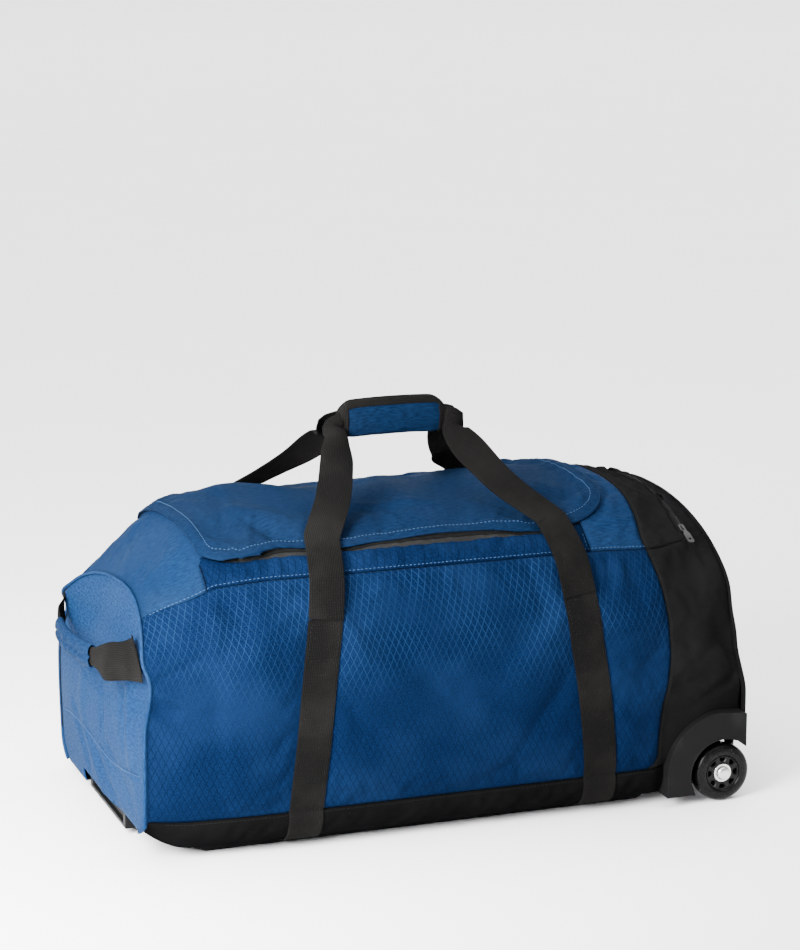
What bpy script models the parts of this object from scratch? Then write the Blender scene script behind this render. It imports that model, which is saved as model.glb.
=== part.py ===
"""Rolling duffel bag, lying on its back panel with the wheels at the +X end.

Frame: +X towards the wheels, -Y the long front side, +Z up, origin on the ground under the middle.
Every cloth panel is cut out of one skin surface, skin_point(x, t), where t runs from 0 at the front
bottom edge over the crest at 0.5 to 1 at the back bottom edge.
"""

import math

import bmesh
import bpy
from mathutils import Matrix, Vector

# --- driving dimensions, metres -------------------------------------------------------------------

BAG_LEFT = -0.352           # seam of the handle end, low down
BAG_RIGHT = 0.366           # seam of the wheel end, low down
LEFT_LEAN = 0.017           # how far the top of the handle end leans in
RIGHT_LEAN = 0.030
BASE_Z = 0.009              # underside of the bag
CORNER_RADIUS = 0.035       # rounding along the two bottom edges
SIDE_BULGE = 0.006

# Crest height, shoulder height and half width of the cross section along the bag.
CREST = ((-0.352, 0.268), (-0.335, 0.288), (-0.300, 0.345), (-0.265, 0.363), (-0.200, 0.367),
         (0.170, 0.367), (0.240, 0.361), (0.300, 0.351), (0.335, 0.335), (0.366, 0.303))
SHOULDER = ((-0.352, 0.205), (-0.265, 0.210), (-0.200, 0.212), (0.170, 0.212), (0.300, 0.200),
            (0.366, 0.185))
HALF_WIDTH = ((-0.352, 0.190), (-0.300, 0.197), (-0.200, 0.203), (0.170, 0.203), (0.300, 0.197),
              (0.366, 0.184))
ROUNDNESS = ((-0.352, 2.8), (-0.265, 2.45), (-0.200, 2.4), (0.170, 2.4), (0.366, 2.5))
BOTTOM_SHARE = 0.12         # share of half the section that the bottom rounding takes
SIDE_SHARE = 0.48           # share at which the side turns into the arched top
END_CENTRE_Z = 0.15         # height of the middle of each end panel
LEFT_BULGE, RIGHT_BULGE = 0.010, 0.0252

CLOTH = 0.0028              # coated cloth with its foam backing
SEAM_GAP = 0.0005           # half of the gap between two sewn panels
END_WELT = CLOTH + 0.0012   # how far the long panels stop short of an end seam
SEAM_GAP_T = 0.0008         # the same across the bag, in t

BAND_T = 0.065              # seam between the black band and the blue side
UPPER_SEAM_T = 0.3415       # long seam under the zip
SLOPE_SEAM_X = -0.2775      # seam of the sloping panel
RIGHT_SEAM_X = 0.1760       # short seam at the right end of the zip gusset
HOOD_X = 0.2560             # seam of the black hood over the wheel end
HOOD_SEAM_T = 0.3450        # seam across the hood

LID_LEFT, LID_RIGHT = -0.2668, 0.2215
LID_CORNER = 0.045
LID_FRONT_T, LID_HINGE_T = 0.383, 0.617
CLOTH_PER_T = 0.95          # metres of cloth per unit of t beside the front of the lid
ZIP_TAPE = 0.0090
ZIP_EDGE = 0.0006

MAIN_SLIDER_X = 0.1370

POCKET_ZIP_X = 0.305
POCKET_ZIP_HALF = 0.0050
POCKET_WELT = 0.0064        # from the zip's middle to the edge of the pocket's panel
POCKET_ARC_RADIUS = 0.324
POCKET_ARC_TOP = 0.3468
POCKET_ARC_DEG = 28.5
POCKET_SLIDER_DEG = 25.5

WEBBING_WIDTH = 0.040
WEBBING = 0.0016
WEBBING_LIFT = 0.0016
RAIL_HEIGHT = 0.0062
STRAP_SEWN_T = 0.2850       # top of the box stitch
STRAP_X = ((0.020, 0.1785), (0.065, 0.1775), (0.150, 0.1700), (0.235, 0.1600), (0.285, 0.1520),
           (0.345, 0.1440), (0.400, 0.1360))
STRAP_END_GAP = 0.002       # in t, between the box stitch and the free loop
LOOP_AXIS_LIFT = 0.0036     # the webbing folds about a line just outside itself
LOOP_TOP_T = 0.400          # where the loop leaves the lid
LOOP_CLEARANCE = 0.0065     # over the lid
LOOP_ROUTE = ((0.120, 0.062, 0.385), (0.098, 0.026, 0.418), (0.080, 0.009, 0.438))
LOOP_IN_GRIP_X, LOOP_IN_GRIP_Y = 0.064, 0.006
PINCHED_WIDTH = 0.023       # the webbing folded into the grip

GRIP_Z = 0.4435
GRIP_HALF_LENGTH = 0.066
GRIP_HALF_DEPTH = 0.0125
GRIP_HALF_HEIGHT = 0.0245
GRIP_WALL = 0.003
GRIP_SPLIT = 0.0008

WHEEL_X, WHEEL_Z = 0.334, 0.035
WHEEL_RADIUS = 0.035
WHEEL_WIDTH = 0.024
WHEEL_Y = 0.1945            # middle of each wheel, either side
HUB_RADIUS = 0.0242
HUB_WIDTH = 0.020
WELL_RADIUS = 0.0426
HOUSING_OUTER_Y = 0.2070
HOUSING_INNER_Y = 0.1615
HOUSING_WALL = 0.0025
BEARING_RADIUS = 0.0109
AXLE_RADIUS = 0.0039
RUNNING_GAP = 0.0003
HOUSING_LEFT, HOUSING_RIGHT = 0.2625, 0.3625
HOUSING_LOW, HOUSING_TOP = 0.0125, 0.1095
HOUSING_CREST_X, HOUSING_SPRING_Z = 0.331, 0.039    # where its rounding ends and starts
HOUSING_RIGHT_TOP, HOUSING_NOTCH = 0.1055, 0.0650
BRACKET_Y, BRACKET_THICKNESS = 0.1595, 0.0032
BRACKET_OUTLINE = ((0.302, 0.013), (0.348, 0.013), (0.356, 0.022), (0.356, 0.085), (0.302, 0.085))
WINDOW_COUNT = 8
WINDOW_INNER, WINDOW_OUTER = 0.0132, 0.0190
WINDOW_HALF_DEG = 16
KICK_RADIUS, KICK_TOP = 0.036, 0.1000
KICK_HALF_WIDTH = 0.157

TUBE_Y = 0.052
TUBE_Z = 0.0205
OUTER_TUBE = (0.0200, 0.0140)
TUBE_WALL = 0.0010
TUBE_STEP = 0.0026          # each inner tube is this much narrower than the one outside it
TUBE_END = 0.2150
BEZEL_LEFT, BEZEL_RIGHT, BEZEL_TOP = -0.3520, -0.3260, 0.0318
BEZEL_HALF_WIDTH = 0.080
RECESS_HALF_WIDTH, RECESS_LOW, RECESS_HIGH = 0.0695, 0.0125, 0.0285
TROLLEY_GRIP_HALF_WIDTH = 0.068

BOARD_LOW, BOARD_TOP, BOARD_HALF_WIDTH = 0.0310, 0.0340, 0.170
RAIL_Y, RAIL_HALF_WIDTH = 0.156, 0.007
RAIL_LEFT, RAIL_RIGHT = -0.334, 0.250
PARTITION_X, PARTITION_LOW = 0.262, 0.040
PARTITION_INSET = 0.0065    # from the skin to the edge of the wall

HANDLE_AXIS_X, HANDLE_AXIS_Z = -0.356, 0.236
GRAB_ROUTE = ((-0.3545, -0.184, 0.238), (-0.3610, -0.152, 0.233), (-0.3700, -0.118, 0.227),
              (-0.3810, -0.066, 0.219), (-0.3870, 0.0, 0.2155))
GRAB_TAB_Y, GRAB_LOOP_Y = 0.1215, 0.1190    # the tabs end and the loop starts on either side of the fold
SLEEVE_HALF_LENGTH = 0.0665
SLEEVE_HALF_DEPTH, SLEEVE_HALF_HEIGHT = 0.0035, 0.0125
GRAB_NARROW = 0.017         # the webbing folded inside the sleeve

PULL_START, PULL_END = 0.0074, 0.0290
PULL_LIFT = 0.0022
PULL_HALF_WIDTH = 0.0040
CUT_CLEARANCE = 0.0008
OUTSIDE = 0.40              # beyond the bag on any side, for the cutters

# --- plain helpers --------------------------------------------------------------------------------


def curve_value(points, x):
    """A smooth curve through the points that never overshoots them (monotone cubic)."""
    if x <= points[0][0]:
        return points[0][1]
    if x >= points[-1][0]:
        return points[-1][1]
    slopes = [(b[1] - a[1]) / (b[0] - a[0]) for a, b in zip(points, points[1:])]
    tangents = [slopes[0]]
    for before, after in zip(slopes, slopes[1:]):
        tangents.append(0.0 if before * after <= 0 else 2 * before * after / (before + after))
    tangents.append(slopes[-1])
    i = max(k for k in range(len(points) - 1) if points[k][0] <= x)
    (x0, y0), (x1, y1) = points[i], points[i + 1]
    span = x1 - x0
    s = (x - x0) / span
    low = y0 * (1 + 2 * s) * (1 - s) ** 2 + span * tangents[i] * s * (1 - s) ** 2
    high = y1 * s * s * (3 - 2 * s) + span * tangents[i + 1] * s * s * (s - 1)
    return low + high


def smoothstep(s):
    s = min(max(s, 0.0), 1.0)
    return s * s * (3 - 2 * s)


def lerp(a, b, s):
    return a + (b - a) * s


def skin_point(x, t, lift=0.0):
    """The bag's outer surface; lift moves the point out along the surface's normal."""
    if lift:
        return skin_point(x, t) + skin_normal(x, t) * lift
    half, shoulder = curve_value(HALF_WIDTH, x), curve_value(SHOULDER, x)
    crest, power = curve_value(CREST, x), 2.0 / curve_value(ROUNDNESS, x)
    s = 2 * min(t, 1 - t)
    corner_top = BASE_Z + CORNER_RADIUS
    if s < BOTTOM_SHARE:
        angle = s / BOTTOM_SHARE * math.pi / 2
        y = half - CORNER_RADIUS + CORNER_RADIUS * math.sin(angle)
        z = corner_top - CORNER_RADIUS * math.cos(angle)
    elif s < SIDE_SHARE:
        up = (s - BOTTOM_SHARE) / (SIDE_SHARE - BOTTOM_SHARE)
        y = half + SIDE_BULGE * math.sin(math.pi * up)
        z = lerp(corner_top, shoulder, up)
    else:
        angle = (s - SIDE_SHARE) / (1 - SIDE_SHARE) * math.pi / 2
        y = half * max(math.cos(angle), 0.0) ** power
        z = shoulder + (crest - shoulder) * math.sin(angle) ** power
    return Vector((x, y if t > 0.5 else -y, z))


def skin_normal(x, t):
    dx, dt = 0.001, 0.002
    along = skin_point(x + dx, t) - skin_point(x - dx, t)
    around = skin_point(x, min(t + dt, 1)) - skin_point(x, max(t - dt, 0))
    return along.cross(around).normalized()


def lean(t):
    return smoothstep((2 * min(t, 1 - t) - SIDE_SHARE) / (1 - SIDE_SHARE))


def left_edge(t):
    return BAG_LEFT + LEFT_LEAN * lean(t)


def right_edge(t):
    return BAG_RIGHT - RIGHT_LEAN * lean(t)


def left_start(t):
    """Where the long panels start, behind the thickness of the end panel."""
    return left_edge(t) + END_WELT


def right_stop(t):
    return right_edge(t) - END_WELT


def lid_sides(t, grow):
    """The x of the lid's two side edges at t, with its outline grown outwards."""
    radius = LID_CORNER + grow
    depth = (LID_FRONT_T + LID_CORNER / CLOTH_PER_T - t) * CLOTH_PER_T
    inset = radius - math.sqrt(max(radius ** 2 - min(max(depth, 0.0), radius) ** 2, 0.0))
    return LID_LEFT - grow + inset, LID_RIGHT + grow - inset


def lid_front(x, grow):
    """The t of the lid's front edge at x, with its outline grown outwards."""
    radius = LID_CORNER + grow
    depth = max(LID_LEFT - grow + radius - x, x - (LID_RIGHT + grow - radius), 0.0)
    drop = math.sqrt(max(radius ** 2 - min(depth, radius) ** 2, 0.0))
    return LID_FRONT_T + (LID_CORNER - drop) / CLOTH_PER_T


def lid_outline(grow):
    """(x, t) points along the zip: down the left side, along the front and up the right side."""
    radius = LID_CORNER + grow
    corner_t = LID_FRONT_T + LID_CORNER / CLOTH_PER_T
    side = [(LID_LEFT - grow, lerp(LID_HINGE_T - 0.002, corner_t, k / 8)) for k in range(8)]
    steps = [k / 6 * math.pi / 2 for k in range(7)]
    left = [(LID_LEFT - grow + radius * (1 - math.cos(a)), corner_t - radius * math.sin(a) / CLOTH_PER_T)
            for a in steps]
    middle = (LID_LEFT + LID_RIGHT) / 2
    half = side + left
    front = [(lerp(left[-1][0], middle, k / 5), left[-1][1]) for k in range(1, 5)]
    points = half + front
    return points + [(middle, left[-1][1])] + [(2 * middle - x, t) for x, t in reversed(points)]


# --- object makers --------------------------------------------------------------------------------


def make_material(name, colour, roughness, metallic=0.0):
    material = bpy.data.materials.new(name)
    material.use_nodes = True
    shader = material.node_tree.nodes["Principled BSDF"]
    shader.inputs["Base Color"].default_value = (*colour, 1.0)
    shader.inputs["Roughness"].default_value = roughness
    shader.inputs["Metallic"].default_value = metallic
    return material


FINISHES = {
    "ripstop": ((0.015, 0.075, 0.210), 0.62, 0.0),
    "plain_blue": ((0.045, 0.130, 0.300), 0.60, 0.0),
    "black_cloth": ((0.012, 0.012, 0.013), 0.70, 0.0),
    "lining": ((0.180, 0.190, 0.200), 0.75, 0.0),
    "webbing": ((0.022, 0.022, 0.021), 0.72, 0.0),
    "plastic": ((0.020, 0.020, 0.021), 0.45, 0.0),
    "tyre": ((0.008, 0.008, 0.008), 0.22, 0.0),
    "hub": ((0.012, 0.012, 0.013), 0.35, 0.0),
    "steel": ((0.620, 0.620, 0.600), 0.28, 1.0),
    "aluminium": ((0.560, 0.570, 0.580), 0.35, 1.0),
    "zip_metal": ((0.030, 0.030, 0.032), 0.40, 0.6),
}


def add_object(name, data, finish, location=(0, 0, 0), parent=None):
    """Puts data in the bag's collection under its own material; location is in world coordinates."""
    part = bpy.data.objects.new(name, data)
    colour, roughness, metallic = FINISHES[finish]
    data.materials.append(make_material(f"{name}_{finish}", colour, roughness, metallic))
    bag.objects.link(part)
    part.location = location
    if parent:
        part.parent = parent
        part.location = Vector(location) - world_of(parent)
    return part


def add_pivot(name, location, parent=None):
    """An empty on a joint's axis, which carries the pieces that move on it."""
    pivot = bpy.data.objects.new(name, None)
    bag.objects.link(pivot)
    pivot.location = location
    if parent:
        pivot.parent = parent
        pivot.location = Vector(location) - world_of(parent)
    return pivot


def mesh_of(name, points, faces, origin=(0, 0, 0)):
    mesh = bpy.data.meshes.new(name)
    shift = Vector(origin)
    mesh.from_pydata([tuple(p - shift) for p in points], [], faces)
    mesh.shade_smooth()
    mesh.set_sharp_from_angle(angle=math.radians(40))
    return mesh


def flat_shell(name, thickness, part, offset=-1.0):
    solid = part.modifiers.new(name, "SOLIDIFY")
    solid.thickness = thickness
    solid.offset = offset
    return part


def sheet(name, rows, finish, thickness, parent=None, offset=-1.0, outward_from=None):
    """A panel from rows of points, turned so that its faces point away from the middle of the bag."""
    wide = len(rows[0])
    points = [p for row in rows for p in row]
    faces = [(j * wide + i, j * wide + i + 1, (j + 1) * wide + i + 1, (j + 1) * wide + i)
             for j in range(len(rows) - 1) for i in range(wide - 1)]
    a, b, c = (points[k] for k in faces[len(faces) // 2][:3])
    inside = Vector(outward_from) if outward_from else Vector((a.x, 0, END_CENTRE_Z))
    if (b - a).cross(c - b).dot(a - inside) < 0:
        faces = [tuple(reversed(f)) for f in faces]
    origin = world_of(parent) if parent else Vector((0, 0, 0))
    part = add_object(name, mesh_of(name, points, faces, origin), finish, origin, parent)
    return flat_shell("cloth", thickness, part, offset)


def world_of(pivot):
    place = Vector(pivot.location)
    while pivot.parent:
        pivot = pivot.parent
        place += pivot.location
    return place


def skin_panel(name, place, columns, rows, finish, lift=0.0, thickness=CLOTH, parent=None):
    """A panel of the skin: place(u, v) gives (x, t), with u along the bag and v around it."""
    grid = [[skin_point(*place(i / columns, j / rows), lift) for i in range(columns + 1)]
            for j in range(rows + 1)]
    return sheet(name, grid, finish, thickness, parent)


def between(left, right, low, high):
    """place(u, v) for a panel between two edges x(t), from t = low to t = high."""
    def place(u, v):
        t = lerp(low, high, v)
        return lerp(left(t), right(t), u), t
    return place


def ribbon(name, samples, finish, thickness, parent=None):
    """A length of webbing through samples of (point, outward normal, width)."""
    points = []
    for k, (point, normal, width) in enumerate(samples):
        ahead, behind = samples[min(k + 1, len(samples) - 1)][0], samples[max(k - 1, 0)][0]
        across = (ahead - behind).cross(normal).normalized() * (width / 2)
        points += [point - across, point + across]
    faces = [(2 * k, 2 * k + 1, 2 * k + 3, 2 * k + 2) for k in range(len(samples) - 1)]
    origin = world_of(parent) if parent else Vector((0, 0, 0))
    part = add_object(name, mesh_of(name, points, faces, origin), finish, origin, parent)
    return flat_shell("webbing", thickness, part, 0.0)


def smooth_path(points, steps):
    """Points along a Catmull-Rom curve through the given vectors, steps to a stretch."""
    ends = [points[0] * 2 - points[1]] + list(points) + [points[-1] * 2 - points[-2]]
    path = []
    for a, b, c, d in zip(ends, ends[1:], ends[2:], ends[3:]):
        for k in range(steps):
            s = k / steps
            path.append(0.5 * (2 * b + (c - a) * s + (2 * a - 5 * b + 4 * c - d) * s ** 2
                               + (3 * b - a - 3 * c + d) * s ** 3))
    return path + [points[-1].copy()]


def box(name, low, high, finish, parent=None, bevel=0.0, segments=2):
    """A block between two corners, in world coordinates."""
    low, high = Vector(low), Vector(high)
    shape = bmesh.new()
    bmesh.ops.create_cube(shape, size=1.0)
    bmesh.ops.scale(shape, vec=high - low, verts=shape.verts)
    origin = world_of(parent) if parent else (low + high) / 2
    bmesh.ops.translate(shape, vec=(low + high) / 2 - origin, verts=shape.verts)
    mesh = bpy.data.meshes.new(name)
    shape.to_mesh(mesh)
    shape.free()
    part = add_object(name, mesh, finish, origin, parent)
    if bevel:
        edge = part.modifiers.new("edges", "BEVEL")
        edge.width = bevel
        edge.segments = segments
    return part


def outline_curve(name, loops, half_thickness):
    """A flat outline with its holes, in the curve's own XY plane, as thick as twice half_thickness."""
    curve = bpy.data.curves.new(name, "CURVE")
    curve.dimensions = "2D"
    curve.fill_mode = "BOTH"
    curve.extrude = half_thickness
    for loop in loops:
        spline = curve.splines.new("POLY")
        spline.points.add(len(loop) - 1)
        for point, (x, y) in zip(spline.points, loop):
            point.co = (x, y, 0, 1)
        spline.use_cyclic_u = True
    return curve


def mesh_from_curve(name, curve):
    """The closed mesh of a curve, with its caps welded on."""
    guide = bpy.data.objects.new(name, curve)
    bag.objects.link(guide)
    bpy.context.view_layer.update()
    mesh = bpy.data.meshes.new_from_object(guide.evaluated_get(bpy.context.evaluated_depsgraph_get()))
    bpy.data.objects.remove(guide)
    shape = bmesh.new()
    shape.from_mesh(mesh)
    bmesh.ops.remove_doubles(shape, verts=shape.verts, dist=0.00002)
    bmesh.ops.recalc_face_normals(shape, faces=shape.faces)
    shape.to_mesh(mesh)
    shape.free()
    return mesh


# Turns a flat outline so that its x stays along X and its y runs up Z, or so that x runs along Y and y up Z.
STANDING_XZ = Matrix.Rotation(math.radians(90), 4, "X")
STANDING_YZ = Matrix(((0, 0, 1, 0), (1, 0, 0, 0), (0, 1, 0, 0), (0, 0, 0, 1)))


def plate(name, loops, thickness, standing, centre, finish, parent=None):
    """A flat outline made solid and stood up, with its middle plane at centre."""
    mesh = mesh_from_curve(name, outline_curve(name, loops, thickness / 2))
    mesh.transform(standing)
    if parent:
        mesh.transform(Matrix.Translation(Vector(centre) - world_of(parent)))
        return add_object(name, mesh, finish, world_of(parent), parent)
    return add_object(name, mesh, finish, centre)


def circle_points(radius, count, centre=(0.0, 0.0), start=0.0):
    return [(centre[0] + radius * math.cos(start + math.tau * k / count),
             centre[1] + radius * math.sin(start + math.tau * k / count)) for k in range(count)]


def turned(name, profile, finish, location, parent=None, steps=32):
    """A shape turned about Y: profile lists (radius, y) down its outer side; one off the axis closes."""
    edges = [(k, k + 1) for k in range(len(profile) - 1)]
    if profile[0][0] > 0:
        edges.append((len(profile) - 1, 0))
    mesh = bpy.data.meshes.new(name)
    mesh.from_pydata([(r, y, 0) for r, y in profile], edges, [])
    part = add_object(name, mesh, finish, location, parent)
    screw = part.modifiers.new("turn", "SCREW")
    screw.axis = "Y"
    screw.steps = screw.render_steps = steps
    screw.use_merge_vertices = True
    screw.merge_threshold = 0.00005
    screw.use_smooth_shade = True
    return part


def cutter(name, mesh, location=(0, 0, 0)):
    tool = bpy.data.objects.new(name, mesh)
    cutters.objects.link(tool)
    tool.location = location
    tool.hide_render = True
    tool.display_type = "WIRE"
    return tool


def box_cutter(name, low, high):
    low, high = Vector(low), Vector(high)
    shape = bmesh.new()
    bmesh.ops.create_cube(shape, size=1.0)
    bmesh.ops.scale(shape, vec=high - low, verts=shape.verts)
    mesh = bpy.data.meshes.new(name)
    shape.to_mesh(mesh)
    shape.free()
    return cutter(name, mesh, (low + high) / 2)


def cut(part, tool):
    gap = part.modifiers.new(tool.name, "BOOLEAN")
    gap.operation = "DIFFERENCE"
    gap.object = tool


# --- cloth body -----------------------------------------------------------------------------------


def side_panels():
    """Front and back: black band, blue side and the black sides of the hood."""
    def mirrored(t):
        return 1 - t

    for side, turn in (("front", lambda t: t), ("back", mirrored)):
        def panel(name, left, right, low, high, columns, rows, finish):
            place = between(left, right, turn(low), turn(high))
            return skin_panel(f"{side}_{name}", place, columns, rows, finish)

        panel("band", left_start, lambda t: HOOD_X - SEAM_GAP,
              0.0, BAND_T - SEAM_GAP_T, 10, 5, "black_cloth")
        panel("panel", left_start, lambda t: HOOD_X - SEAM_GAP,
              BAND_T + SEAM_GAP_T, UPPER_SEAM_T - SEAM_GAP_T, 12, 14, "ripstop")
        hood = panel("hood", lambda t: HOOD_X + SEAM_GAP, right_stop,
                     BAND_T + SEAM_GAP_T, HOOD_SEAM_T - SEAM_GAP_T, 6, 14, "black_cloth")
        cut(hood, bpy.data.objects[f"{side}_housing_cutter"])


def top_panels():
    """The panels round the lid: sloping panel, zip gusset, back gusset and the panel before the hood."""
    top_low, top_high = UPPER_SEAM_T + SEAM_GAP_T, 1 - UPPER_SEAM_T - SEAM_GAP_T
    around_lid = ZIP_TAPE + 3 * ZIP_EDGE + SEAM_GAP
    slope = between(left_start, lambda t: SLOPE_SEAM_X - SEAM_GAP, top_low, top_high)
    skin_panel("left_slope_panel", slope, 4, 20, "plain_blue")

    def gusset(u, v):
        x = lerp(SLOPE_SEAM_X + SEAM_GAP, RIGHT_SEAM_X - SEAM_GAP, u ** 2)
        return x, lerp(top_low, lid_front(x, around_lid), v)

    def near_hood(u, v):
        t = lerp(top_low, top_high, v)
        left = RIGHT_SEAM_X + SEAM_GAP
        if t > LID_FRONT_T - around_lid / CLOTH_PER_T:
            left = max(left, lid_sides(t, around_lid)[1])
        return lerp(left, HOOD_X - SEAM_GAP, u), t

    skin_panel("front_gusset", gusset, 26, 2, "ripstop")
    skin_panel("right_top_panel", near_hood, 3, 36, "plain_blue")
    back = between(lambda t: SLOPE_SEAM_X + SEAM_GAP, lambda t: LID_RIGHT + ZIP_TAPE + ZIP_EDGE,
                   LID_HINGE_T + 2 * SEAM_GAP_T, top_high)
    skin_panel("back_gusset", back, 12, 2, "ripstop")


def hood_top():
    low, high = HOOD_SEAM_T + SEAM_GAP_T, 1 - HOOD_SEAM_T - SEAM_GAP_T
    bridge = between(lambda t: HOOD_X + SEAM_GAP, lambda t: POCKET_ZIP_X - POCKET_ZIP_HALF, low, high)
    pocket = between(lambda t: POCKET_ZIP_X + POCKET_WELT, right_stop, low, high)
    skin_panel("hood_bridge", bridge, 3, 20, "black_cloth")
    skin_panel("pocket_panel", pocket, 3, 20, "black_cloth")
    turns = [lerp(-POCKET_ARC_DEG, POCKET_ARC_DEG, k / 20) for k in range(21)]
    width = 2 * (POCKET_ZIP_HALF - CUT_CLEARANCE / 2)
    ribbon("pocket_zip_tape", [(pocket_arc(a), arc_normal(a), width) for a in turns], "webbing", 0.0014)


def arc_normal(degrees):
    angle = math.radians(degrees)
    return Vector((0, math.sin(angle), math.cos(angle)))


def pocket_arc(degrees, lift=0.0):
    """A point on the pocket zip, degrees round from its highest point towards the back."""
    centre = Vector((POCKET_ZIP_X, 0, POCKET_ARC_TOP - POCKET_ARC_RADIUS))
    return centre + arc_normal(degrees) * (POCKET_ARC_RADIUS + lift)


def end_panel(name, edge, bulge, finish, direction):
    """A closed end: the seam's outline drawn in to its middle over a soft bulge."""
    around = [skin_point(edge(k / 32) + direction * SEAM_GAP, k / 32) for k in range(33)]
    bottom = [lerp(around[-1], around[0], k / 6) for k in range(1, 6)]
    outline = around + bottom
    count = len(outline)
    centre = Vector((edge(0.2) + direction * SEAM_GAP, 0, END_CENTRE_Z))
    rings = [0.0, 0.05, 0.15, 0.35, 0.6, 0.82]
    points = []
    for inset in rings:
        out = Vector((direction * bulge * (1 - (1 - inset) ** 3), 0, 0))
        points += [lerp(p, centre, inset) + out for p in outline]
    points.append(centre + Vector((direction * bulge, 0, 0)))
    faces = []
    for start in range(0, (len(rings) - 1) * count, count):
        faces += [(start + k, start + (k + 1) % count, start + count + (k + 1) % count, start + count + k)
                  for k in range(count)]
    last = (len(rings) - 1) * count
    faces += [(last + k, last + (k + 1) % count, len(points) - 1) for k in range(count)]
    if direction > 0:
        faces = [tuple(reversed(f)) for f in faces]
    part = add_object(name, mesh_of(name, points, faces), finish)
    return flat_shell("cloth", CLOTH, part)


def underside():
    """The flat bottom between the bands, the stiff board above it, and what it stands on."""
    def edge_y(x):
        return curve_value(HALF_WIDTH, x) - CORNER_RADIUS - 2 * SEAM_GAP

    left = left_start(0)
    xs = [lerp(left, HOOD_X - SEAM_GAP, k / 10) for k in range(11)]
    across = (0, 0.25, 0.5, 0.75, 1)
    rows = [[Vector((x, lerp(-edge_y(x), edge_y(x), v), BASE_Z)) for x in xs] for v in across]
    bottom = sheet("bottom_panel", rows, "black_cloth", CLOTH)
    cut(bottom, bpy.data.objects["bezel_cutter"])
    box("base_board", (BEZEL_RIGHT + 0.0015, -BOARD_HALF_WIDTH, BOARD_LOW),
        (RAIL_RIGHT, BOARD_HALF_WIDTH, BOARD_TOP), "plastic", bevel=0.001, segments=1)

    for name, side in (("front", -1), ("back", 1)):
        box(f"{name}_skid_rail", (RAIL_LEFT, side * RAIL_Y - RAIL_HALF_WIDTH, 0.0),
            (RAIL_RIGHT, side * RAIL_Y + RAIL_HALF_WIDTH, RAIL_HEIGHT), "plastic", bevel=0.0028)


def pocket_partition():
    """The cloth wall between the main compartment and the end pocket."""
    around = [skin_point(PARTITION_X, lerp(0.02, 0.98, k / 24), -PARTITION_INSET) for k in range(25)]
    for p in around:
        p.x = PARTITION_X
        p.z = max(p.z, PARTITION_LOW)
    foot = Vector((PARTITION_X, 0, PARTITION_LOW))
    rows = [[foot.lerp(p, s) for s in (0.3, 1.0)] for p in around]
    sheet("pocket_partition", rows, "lining", 0.0012, outward_from=(0, 0, END_CENTRE_Z))


# --- lid ------------------------------------------------------------------------------------------


def lid():
    """The U-shaped lid with its zip tape and lining, hinged along the back."""
    pivot = add_pivot("lid_hinge", lid_hinge_point())

    def place(u, v):
        t = LID_FRONT_T + (LID_HINGE_T - LID_FRONT_T) * v ** 1.25
        left, right = lid_sides(t, -ZIP_EDGE)
        return lerp(left, right, u), max(t, LID_FRONT_T + ZIP_EDGE)

    def under(u, v):
        t = lerp(LID_FRONT_T + 0.018, LID_HINGE_T - 0.010, v)
        left, right = lid_sides(t, -0.015)
        return lerp(left, right, u), t

    skin_panel("lid_panel", place, 12, 18, "plain_blue", parent=pivot)
    skin_panel("lid_lining", under, 10, 12, "lining", lift=-0.0042, thickness=0.0010, parent=pivot)
    zip_strip("lid_zip_tape", -0.0130, -0.0010, -0.0044, pivot)
    zip_strip("main_zip_tape", ZIP_EDGE, ZIP_EDGE + ZIP_TAPE, -0.0012, None)


def lid_hinge_point():
    return Vector((0, skin_point(0, LID_HINGE_T).y, skin_point(0, LID_HINGE_T).z))


def zip_strip(name, inner, outer, lift, parent):
    """A strip of zip tape round three sides of the lid, between two growths of its outline."""
    rows = [[skin_point(x, t, lift) for x, t in lid_outline(grow)] for grow in (inner, outer)]
    return sheet(name, rows, "webbing", 0.0012, parent)


# --- webbing --------------------------------------------------------------------------------------


def strap_sample(side, end, t, lift, width=WEBBING_WIDTH):
    """A point of a carry strap on the skin: side -1 front or 1 back, end -1 left or 1 right."""
    x = end * curve_value(STRAP_X, t)
    around = t if side < 0 else 1 - t
    return skin_point(x, around, lift), skin_normal(x, around), width


def lower_straps():
    """Two bands sewn round the bag, from the front box stitch under the bottom to the back one."""
    for name, end in (("left", -1), ("right", 1)):
        turns = [lerp(STRAP_SEWN_T, 0.0, (k / 26) ** 0.9) for k in range(27)]
        down = [strap_sample(-1, end, t, WEBBING_LIFT) for t in turns]
        near = down[-1][0]
        far = Vector((near.x, -near.y, near.z))
        under = [(near.lerp(far, k / 6), Vector((0, 0, -1)), WEBBING_WIDTH) for k in range(1, 6)]
        up = [(Vector((p.x, -p.y, p.z)), Vector((n.x, -n.y, n.z)), w) for p, n, w in reversed(down)]
        ribbon(f"{name}_lower_strap", down + under + up, "webbing", WEBBING)


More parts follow.
